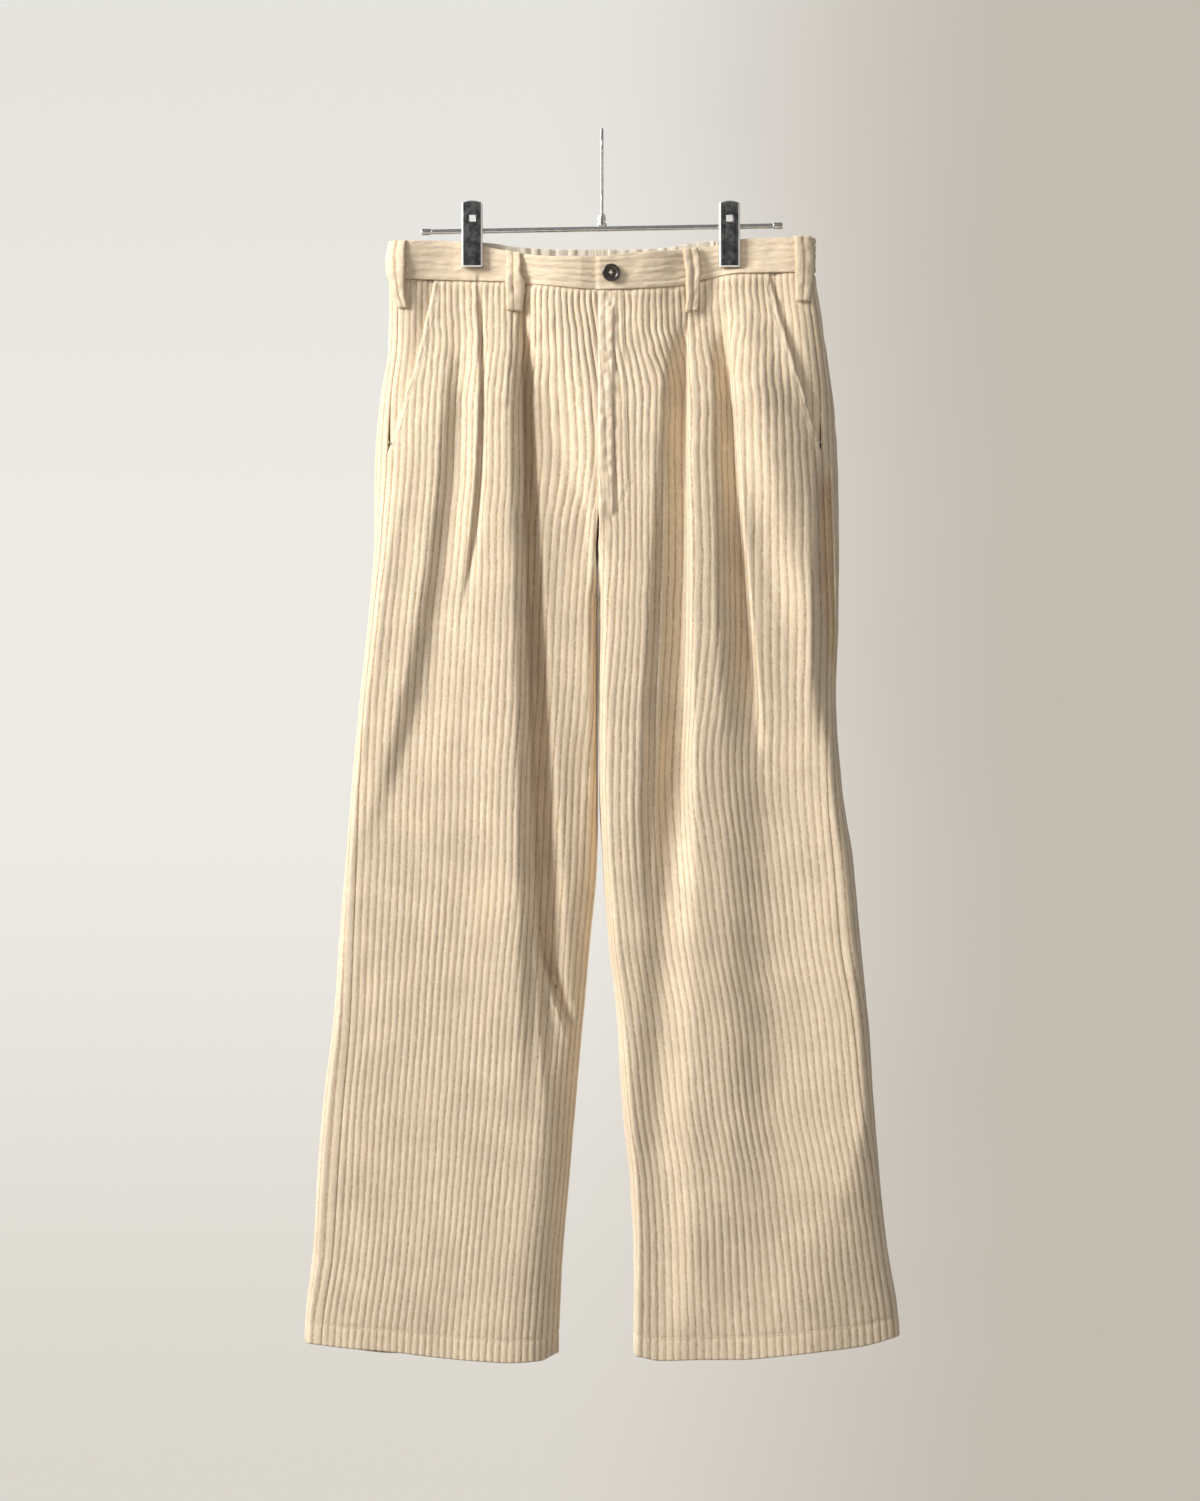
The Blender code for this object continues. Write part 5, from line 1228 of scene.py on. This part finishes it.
# ---- button
def make_button():
    """A four-hole button with a raised rim, and its thread cross."""
    low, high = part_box("button")
    slope = np.diff([front_y(LEFT, np.array([BUTTON_X]), z)[0] for z in (Z_WAIST, Z_BAND_TOP)])[0]
    lean = math.atan2(-slope, Z_BAND_TOP - Z_WAIST)
    r, t = BUTTON_RADIUS, BUTTON_THICKNESS / 2
    profile = np.array(((0.01, -t), (r - 1.6, -t), (r - 0.5, -t + 0.5), (r, 0.0), (r - 0.2, t - 0.5),
                        (r - 0.8, t - 0.05), (r - 1.5, t), (r - 2.2, t - 0.3), (r - 3.2, t - 1.0),
                        (0.01, t - 1.15)))
    fine_at = np.linspace(0, len(profile) - 1, 46)
    fine = as_points(*(np.interp(fine_at, range(len(profile)), column) for column in profile.T))
    button = bpy.data.objects.new("button_blank", closed_mesh("button_turned", *lathe(fine, sides=56)))
    hole = [(0.01, -4), (BUTTON_HOLE_RADIUS, -4), (BUTTON_HOLE_RADIUS, 4), (0.01, 4)]
    spread, turns = BUTTON_HOLE_SPREAD, [math.radians(90 * n) for n in range(4)]
    drills = [lathe(hole, (spread * math.cos(a), spread * math.sin(a), 0), sides=16) for a in turns]
    drill = bpy.data.objects.new("button_drill", closed_mesh("button_drill", *merged(drills)))
    link(button)
    link(drill)
    cut = button.modifiers.new("holes", "BOOLEAN")
    cut.operation, cut.solver, cut.object = "DIFFERENCE", "EXACT", drill
    made = evaluated_mesh(button, drill)
    turn = (Matrix.Translation(Vector((low + high) / 2 / MM) * MM)
            @ Matrix.Rotation(math.radians(90) + lean, 4, "X"))
    made.transform(turn)
    smooth(made, 40)
    add_piece("button_turned", made, "horn_button", [horn], "button")
    threads = []
    reach = spread * 1.05
    for a in turns[:2]:
        line = [Vector((s * reach * math.cos(a), s * reach * math.sin(a), t - 1.0 + 0.7 * (1 - s * s)))
                for s in np.linspace(-1, 1, 9)]
        for aside in (-0.22, 0.22):
            offset = Vector((-math.sin(a), math.cos(a), 0)) * aside
            threads.append(sweep(np.array([turn @ ((p + offset) * MM) for p in line]) / MM, 0.24, 6))
    hard_piece("button_thread", merged(threads), "corduroy", thread)


def make_buttonhole():
    """Close stitches round a dark slit, a thin tube of dark horn that paints the slit's shade, meant to show
    beside the button.

    Known fault: behind the side fold the section's x falls again, so the lookup by x finds the section's end
    for every point. The stitches lie in one knot at the back seam, and the slit has no size.
    """
    curve = section_curve(LEFT, BUTTON_Z)
    at = np.interp(np.linspace(BUTTON_X + BUTTON_RADIUS - 2.5, BUTTONHOLE_END, 15), curve.x, curve.length)
    x, y = curve_point(curve, at, np.full(len(at), BAND_PROUD + 0.75))
    line = as_points(x, y, lifted_z(BUTTON_Z, x, "front"))
    rungs = [sweep([(px, py, pz + rise + step) for step in 0.75 * np.array((-1, 0, 1))], 0.26, 6)
             for px, py, pz in line for rise in (-0.9, 0.9)]
    hard_piece("buttonhole_stitch", merged(rungs), "corduroy", thread)
    # Painted shade: a dark horn tube stands for the slit's shadowed gap.
    hard_piece("buttonhole_slit_painted_shade", sweep(line, 0.22, 6), "corduroy", horn)


# ---- materials
# Groove colours paint the shade between the wales, on the panels and, paler, on the pressed waistband; the
# first colour of the next line is pale tufts and the painted highlight on the crowns.
CORD_CROWN, CORD_GROOVE_SHADE, CORD_PRESSED_GROOVE_SHADE = (0.77, 0.632, 0.458), (0.42, 0.29, 0.165), (0.70, 0.57, 0.41)
CORD_TUFTS_AND_HIGHLIGHT, CORD_WARM = (0.86, 0.748, 0.595), (0.73, 0.58, 0.405)
# Glow colours that paint the wall's light and shade: by height, and darker to the right.
WALL_PAINTED_LIGHT_TOP, WALL_PAINTED_LIGHT_MIDDLE, WALL_PAINTED_LIGHT_LOW = (0.79, 0.775, 0.735), (0.855, 0.831, 0.783), (0.71, 0.68, 0.62)
WALL_PAINTED_SHADE_RIGHT = (0.55, 0.503, 0.44)
# Slopes across and up, seen from the camera's place, over which the wall's painted light and shade change.
WALL_ACROSS, WALL_UP_LOW, WALL_UP_HIGH = (-0.01, 0.125), (-0.19, 0.0), (0.03, 0.19)


class Nodes:
    """Small helper for building a material's node tree."""

    def __init__(self, name):
        self.material = bpy.data.materials.new(name)
        self.material.use_nodes = True
        self.tree = self.material.node_tree
        self.shader = self.tree.nodes["Principled BSDF"]

    def add(self, kind, feeds=(), **values):
        """A node with its properties set and its inputs fed by pairs of input and value."""
        node = self.tree.nodes.new("ShaderNode" + kind)
        for key, value in values.items():
            setattr(node, key, value)
        for key, value in feeds:
            self.feed(node.inputs[key], value)
        return node

    def feed(self, socket, value):
        if isinstance(value, bpy.types.NodeSocket):
            self.tree.links.new(value, socket)
        else:
            socket.default_value = value

    def math(self, operation, a, b=0.0, c=0.0):
        return self.add("Math", enumerate((a, b, c)), operation=operation).outputs[0]

    def plus(self, a, b):
        return self.math("ADD", a, b)

    def minus(self, a, b):
        return self.math("SUBTRACT", a, b)

    def times(self, a, b):
        return self.math("MULTIPLY", a, b)

    def most(self, a, b):
        return self.math("MAXIMUM", a, b)

    def scaled(self, vector, *scale):
        return self.add("VectorMath", ((0, vector), (1, scale)), operation="MULTIPLY").outputs[0]

    def split(self, vector):
        return self.add("SeparateXYZ", [(0, vector)]).outputs

    def noise(self, vector, scale, detail=2.0, roughness=0.5):
        feeds = (("Vector", vector), ("Scale", scale), ("Detail", detail), ("Roughness", roughness))
        return self.add("TexNoise", feeds).outputs["Fac"]

    def span(self, value, low, high, to_low=0.0, to_high=1.0):
        feeds = (("Value", value), ("From Min", low), ("From Max", high),
                 ("To Min", to_low), ("To Max", to_high))
        return self.add("MapRange", feeds, interpolation_type="SMOOTHSTEP").outputs[0]

    def mix(self, share, first, second):
        first, second = ((*value, 1.0) if isinstance(value, tuple) else value for value in (first, second))
        return self.add("Mix", ((0, share), (6, first), (7, second)), data_type="RGBA").outputs[2]

    def bump(self, height, distance, strength):
        feeds = (("Strength", strength), ("Distance", distance), ("Height", height))
        return self.add("Bump", feeds).outputs[0]

    def place(self):
        return self.add("TexCoord").outputs["Object"]

    def set(self, **values):
        for key, value in values.items():
            self.feed(self.shader.inputs[key.replace("_", " ")], value)

    def glow(self, colour):
        """Makes the material shine with a colour of its own, lit by nothing."""
        glow = self.add("Emission", [("Color", colour)])
        self.feed(self.tree.nodes["Material Output"].inputs["Surface"], glow.outputs[0])
        self.tree.nodes.remove(self.shader)


def make_corduroy(name, groove, highlight_strength):
    """Cream pile in round wales: pale crowns with a painted highlight, grooves darkened with painted shade,
    long streaks and a soft mottle.
    """
    nodes = Nodes(name)
    uv = nodes.add("UVMap", uv_map="wales").outputs[0]
    split = nodes.split(uv)
    frayed = nodes.minus(nodes.noise(nodes.scaled(uv, 2.0, 2.2, 1.0), 1.0, 2.0, 0.6), 0.5)
    across = nodes.plus(split[0], nodes.times(frayed, 0.16))
    turn = nodes.math("COSINE", nodes.times(across, 2 * math.pi))
    crown = nodes.math("MULTIPLY_ADD", turn, -0.5, 0.5)
    fibres = nodes.noise(nodes.scaled(uv, 7.0, 4.0, 1.0), 1.0, 3.0, 0.65)
    tufts = nodes.noise(nodes.scaled(uv, 3.0, 1.3, 1.0), 1.0, 2.0, 0.6)
    streaks = nodes.noise(nodes.scaled(uv, 0.9, 0.06, 1.0), 1.0)
    mottle = nodes.noise(nodes.place(), 26.0, 3.0, 0.55)
    pile = nodes.plus(crown, nodes.times(nodes.minus(fibres, 0.5), 0.7))
    rubbed = nodes.noise(nodes.scaled(uv, 0.35, 0.16, 1.0), 1.0)
    share = nodes.most(nodes.span(pile, -0.1, 0.34), nodes.span(rubbed, 0.5, 0.8, 0.0, 0.5))
    # Painted shade: the grooves take the darker groove colour; rubbed patches lighten it.
    colour = nodes.mix(share, groove, CORD_CROWN)
    # Painted highlight: the wale crowns turn pale in tufts, the more so with a larger last argument.
    crown_highlight = nodes.times(nodes.span(crown, 0.75, 1.0), nodes.span(tufts, 0.42, 0.62, 0.0, highlight_strength))
    colour = nodes.mix(crown_highlight, colour, CORD_TUFTS_AND_HIGHLIGHT)
    colour = nodes.mix(nodes.span(tufts, 0.4, 0.75, 0.0, 0.5), colour, CORD_TUFTS_AND_HIGHLIGHT)
    colour = nodes.mix(nodes.span(streaks, 0.35, 0.7, 0.0, 0.35), colour, CORD_WARM)
    shade = nodes.span(mottle, 0.3, 0.7, 0.93, 1.05)
    tone = nodes.add("HueSaturation", (("Color", colour), ("Value", shade)))
    height = nodes.plus(nodes.times(fibres, 0.6), nodes.times(tufts, 0.5))
    nodes.set(Base_Color=tone.outputs[0], Roughness=nodes.span(fibres, 0.3, 0.7, 0.82, 0.95),
              Normal=nodes.bump(height, 0.0009, 0.8), Specular_IOR_Level=0.2, Sheen_Weight=0.35,
              Sheen_Roughness=0.45, Sheen_Tint=(1.0, 0.93, 0.82, 1.0))
    return nodes.material


def make_cotton(name, first, second, thread_scale):
    """Plain weave: crossed threads with a slight unevenness."""
    nodes = Nodes(name)
    place = nodes.place()
    feeds = (("Vector", place), ("Scale", thread_scale), ("Distortion", 1.5))
    threads = nodes.times(*(nodes.add("TexWave", feeds, bands_direction=way).outputs["Fac"] for way in "XZ"))
    uneven = nodes.noise(place, 120.0, 3.0, 0.6)
    share = nodes.plus(nodes.times(threads, 0.6), nodes.times(uneven, 0.4))
    nodes.set(Base_Color=nodes.mix(share, first, second), Roughness=nodes.span(uneven, 0.3, 0.7, 0.8, 0.95),
              Normal=nodes.bump(share, 0.0003, 0.6), Specular_IOR_Level=0.25, Sheen_Weight=0.15)
    return nodes.material


def make_thread():
    nodes = Nodes("sewing_thread")
    twist = nodes.noise(nodes.scaled(nodes.place(), 1.0, 1.0, 2.5), 900.0)
    nodes.set(Base_Color=nodes.mix(twist, (0.66, 0.53, 0.38), (0.86, 0.76, 0.61)),
              Roughness=nodes.span(twist, 0.3, 0.7, 0.5, 0.75), Normal=nodes.bump(twist, 0.0002, 0.5))
    return nodes.material


def make_chrome(name, dull, bright, cloud, painted_edge_highlight=False):
    """Bright plate with the faint clouding and handling marks of a hanger in use; the clouding is also a
    painted mottled reflection.
    """
    nodes = Nodes(name)
    place = nodes.place()
    clouding_and_reflection = nodes.noise(place, 160.0, 4.0, 0.6)
    marks = nodes.noise(nodes.scaled(place, 1.0, 1.0, 0.35), 700.0, 3.0, 0.6)
    colour = nodes.mix(nodes.span(clouding_and_reflection, 0.5 - cloud, 0.5 + cloud), dull, bright)
    metal = 1.0
    if painted_edge_highlight:
        # Painted highlight: a pale, less metallic band along each clip's side edges and bottom edge.
        x, _, z = nodes.split(place)
        middle, half_apart = sum(CLIP_X.values()) / 2 * MM, (CLIP_X[LEFT] - CLIP_X[RIGHT]) / 2 * MM
        aside = nodes.math("ABSOLUTE", nodes.minus(x, middle))
        aside = nodes.math("ABSOLUTE", nodes.minus(aside, half_apart))
        side_edge_highlight = nodes.span(aside, (CLIP_WIDTH / 2 - 1.9) * MM, (CLIP_WIDTH / 2 - 1.3) * MM)
        edge = nodes.most(side_edge_highlight, nodes.span(z, (CLIP_Z_BOTTOM + 1.5) * MM, (CLIP_Z_BOTTOM + 1.1) * MM))
        metal = nodes.span(edge, 0.0, 1.0, 1.0, 0.15)
        colour = nodes.mix(edge, colour, (0.86, 0.85, 0.83))
    nodes.set(Base_Color=colour, Roughness=nodes.span(marks, 0.3, 0.75, 0.06, 0.2),
              Normal=nodes.bump(clouding_and_reflection, 0.0004, 0.12), Metallic=metal)
    return nodes.material


def make_horn():
    nodes = Nodes("dark_horn")
    grain = nodes.noise(nodes.scaled(nodes.place(), 1.0, 1.0, 3.0), 220.0, 4.0, 0.6)
    nodes.set(Base_Color=nodes.mix(nodes.span(grain, 0.35, 0.7), (0.012, 0.01, 0.009), (0.06, 0.042, 0.032)),
              Roughness=nodes.span(grain, 0.3, 0.7, 0.28, 0.42), Normal=nodes.bump(grain, 0.0002, 0.3),
              Coat_Weight=0.2, Coat_Roughness=0.2)
    return nodes.material


def make_wall():
    """The studio's pale wall, glowing with painted light and shade: brightest half way up on the side that
    the light comes from, darker to the right.
    """
    nodes = Nodes("pale_wall_painted_light")
    place = nodes.add("NewGeometry").outputs["Position"]
    x, y, z = nodes.split(place)
    away = nodes.most(nodes.plus(y, CAMERA_DISTANCE), CAMERA_DISTANCE)
    cloud = nodes.times(nodes.noise(place, 0.7), 0.02)
    across = nodes.plus(nodes.math("DIVIDE", x, away), cloud)
    up = nodes.math("DIVIDE", nodes.minus(z, CAMERA_Z), away)
    lit = nodes.mix(nodes.span(up, *WALL_UP_LOW), WALL_PAINTED_LIGHT_LOW, WALL_PAINTED_LIGHT_MIDDLE)
    lit = nodes.mix(nodes.span(up, *WALL_UP_HIGH), lit, WALL_PAINTED_LIGHT_TOP)
    nodes.glow(nodes.mix(nodes.span(across, *WALL_ACROSS), lit, WALL_PAINTED_SHADE_RIGHT))
    return nodes.material


def make_dark():
    nodes = Nodes("painted_reflection_curtain")
    place = nodes.add("NewGeometry").outputs["Position"]
    # Painted reflection: a mottle of dark and grey glow, seen only in the chrome.
    folds = nodes.span(nodes.noise(nodes.scaled(place, 1.6, 1.0, 0.8), 1.0, 3.0, 0.6), 0.35, 0.7)
    nodes.glow(nodes.mix(folds, (0.014, 0.014, 0.014), (0.26, 0.26, 0.255)))
    return nodes.material


corduroy = make_corduroy("corduroy", CORD_GROOVE_SHADE, 0.35)
pressed_corduroy = make_corduroy("pressed_corduroy", CORD_PRESSED_GROOVE_SHADE, 1.0)
cloth_inside = make_cotton("cloth_inside", (0.50, 0.38, 0.25), (0.64, 0.51, 0.36), 900.0)
cotton = make_cotton("cotton_facing", (0.62, 0.55, 0.45), (0.83, 0.77, 0.66), 700.0)
thread = make_thread()
chrome = make_chrome("chrome", (0.58, 0.58, 0.58), (0.82, 0.82, 0.82), 0.25)
# The clips' darker clouds paint part of the dark mottled reflection on their faces.
clip_chrome = make_chrome("clip_chrome", (0.32, 0.325, 0.33), (0.70, 0.70, 0.70), 0.12, True)
horn = make_horn()

# ---- the whole
band_cache = {}
HEIGHTS = panel_heights()
POCKET_HEIGHTS = [z for z in HEIGHTS if z >= Z_POCKET_END]
curves = {side: {z: section_curve(side, z) for z in HEIGHTS} for side in SIDES}


def add_cloth(mesh, face=corduroy, slot="corduroy", inside=cloth_inside):
    node = mesh.name.removesuffix("_cloth")
    add_piece(mesh.name, mesh, slot, [face, inside], node)


for half, half_name in SIDE_NAME.items():
    add_cloth(panel_mesh("front_" + half_name, half, HEIGHTS, front_panel_row))
    add_cloth(panel_mesh("back_" + half_name, half, HEIGHTS, back_panel_row))
    add_cloth(panel_mesh("pocket_facing_" + half_name, half, POCKET_HEIGHTS, pocket_facing_row))
    add_cloth(make_front_band(half), pressed_corduroy)
add_cloth(make_back_band(), pressed_corduroy)
add_cloth(make_back_facing(), cotton, "cotton_facing", cotton)
for belt_loop in LOOPS:
    add_cloth(make_belt_loop(belt_loop))

make_bar()
make_ferrule()
make_hook()
for half in SIDES:
    make_jaw(half, True)
    make_jaw(half, False)
make_button()
make_buttonhole()
add_stitching()


# ---- studio, in metres
FLOOR_Z, BOWL_RADIUS, BOWL_TURN, BOWL_HEIGHT = -1.5, 7.5, 1.6, 6.0
CURTAIN_Y, CURTAIN_HALF, CURTAIN_Z = -6.2, 3.2, (-1.4, 2.6)
AIM = Vector((0, 0, -0.6))


def add_stage(name, points, faces, material):
    """A sheet of the studio, which neither lights nor shades the part."""
    mesh = bpy.data.meshes.new(name)
    mesh.from_pydata([Vector(p) for p in points], [], faces)
    mesh.materials.append(material)
    sheet = bpy.data.objects.new(name, mesh)
    sheet.visible_diffuse = sheet.visible_shadow = False
    link(sheet)
    return sheet


def add_bowl():
    """Floor and wall in one turned sheet, well outside every camera."""
    corner = [(BOWL_RADIUS - BOWL_TURN * (1 - math.sin(a)), FLOOR_Z + BOWL_TURN * (1 - math.cos(a)))
              for a in np.linspace(0, math.pi / 2, 14)]
    profile = [(0.001, FLOOR_Z), (3.0, FLOOR_Z)] + corner + [(BOWL_RADIUS, FLOOR_Z + BOWL_HEIGHT)]
    points, faces = lathe(profile, sides=96)
    add_stage("studio_bowl", points, faces[:-2], make_wall()).data.shade_smooth()


def add_curtain():
    """The dark end of the room, which only the chrome shows: a glowing sheet whose dark and grey mottle is a
    painted reflection.
    """
    low, high = CURTAIN_Z
    corners = ((-CURTAIN_HALF, low), (CURTAIN_HALF, low), (CURTAIN_HALF, high), (-CURTAIN_HALF, high))
    points = [(x, CURTAIN_Y, z) for x, z in corners]
    add_stage("painted_reflection_curtain", points, [(0, 1, 2, 3)], make_dark()).visible_camera = False


def area_light(name, place, size, power, colour, mirrored=True):
    data = bpy.data.lights.new(name, "AREA")
    data.shape, data.size = "SQUARE", size
    data.energy, data.color = power, colour
    light = bpy.data.objects.new(name, data)
    light.location = place
    light.rotation_euler = (AIM - Vector(place)).to_track_quat("-Z", "Y").to_euler()
    light.visible_camera = False
    light.visible_glossy = mirrored
    link(light)


add_bowl()
add_curtain()
area_light("key", (-3.05, -1.62, 1.2), 1.3, 205, (1.0, 0.985, 0.96))
area_light("front", (-0.6, -4.6, 0.6), 2.6, 44, (1.0, 0.95, 0.88), False)
area_light("rear", (-2.5, 4.0, 1.2), 2.6, 150, (1.0, 0.97, 0.94))
world = bpy.data.worlds.new("world")
world.use_nodes = True
sky = world.node_tree.nodes["Background"]
sky.inputs["Color"].default_value = (0.95, 0.94, 0.92, 1.0)
sky.inputs["Strength"].default_value = 0.28
bpy.context.scene.world = world
bpy.context.scene.view_settings.view_transform = "Standard"
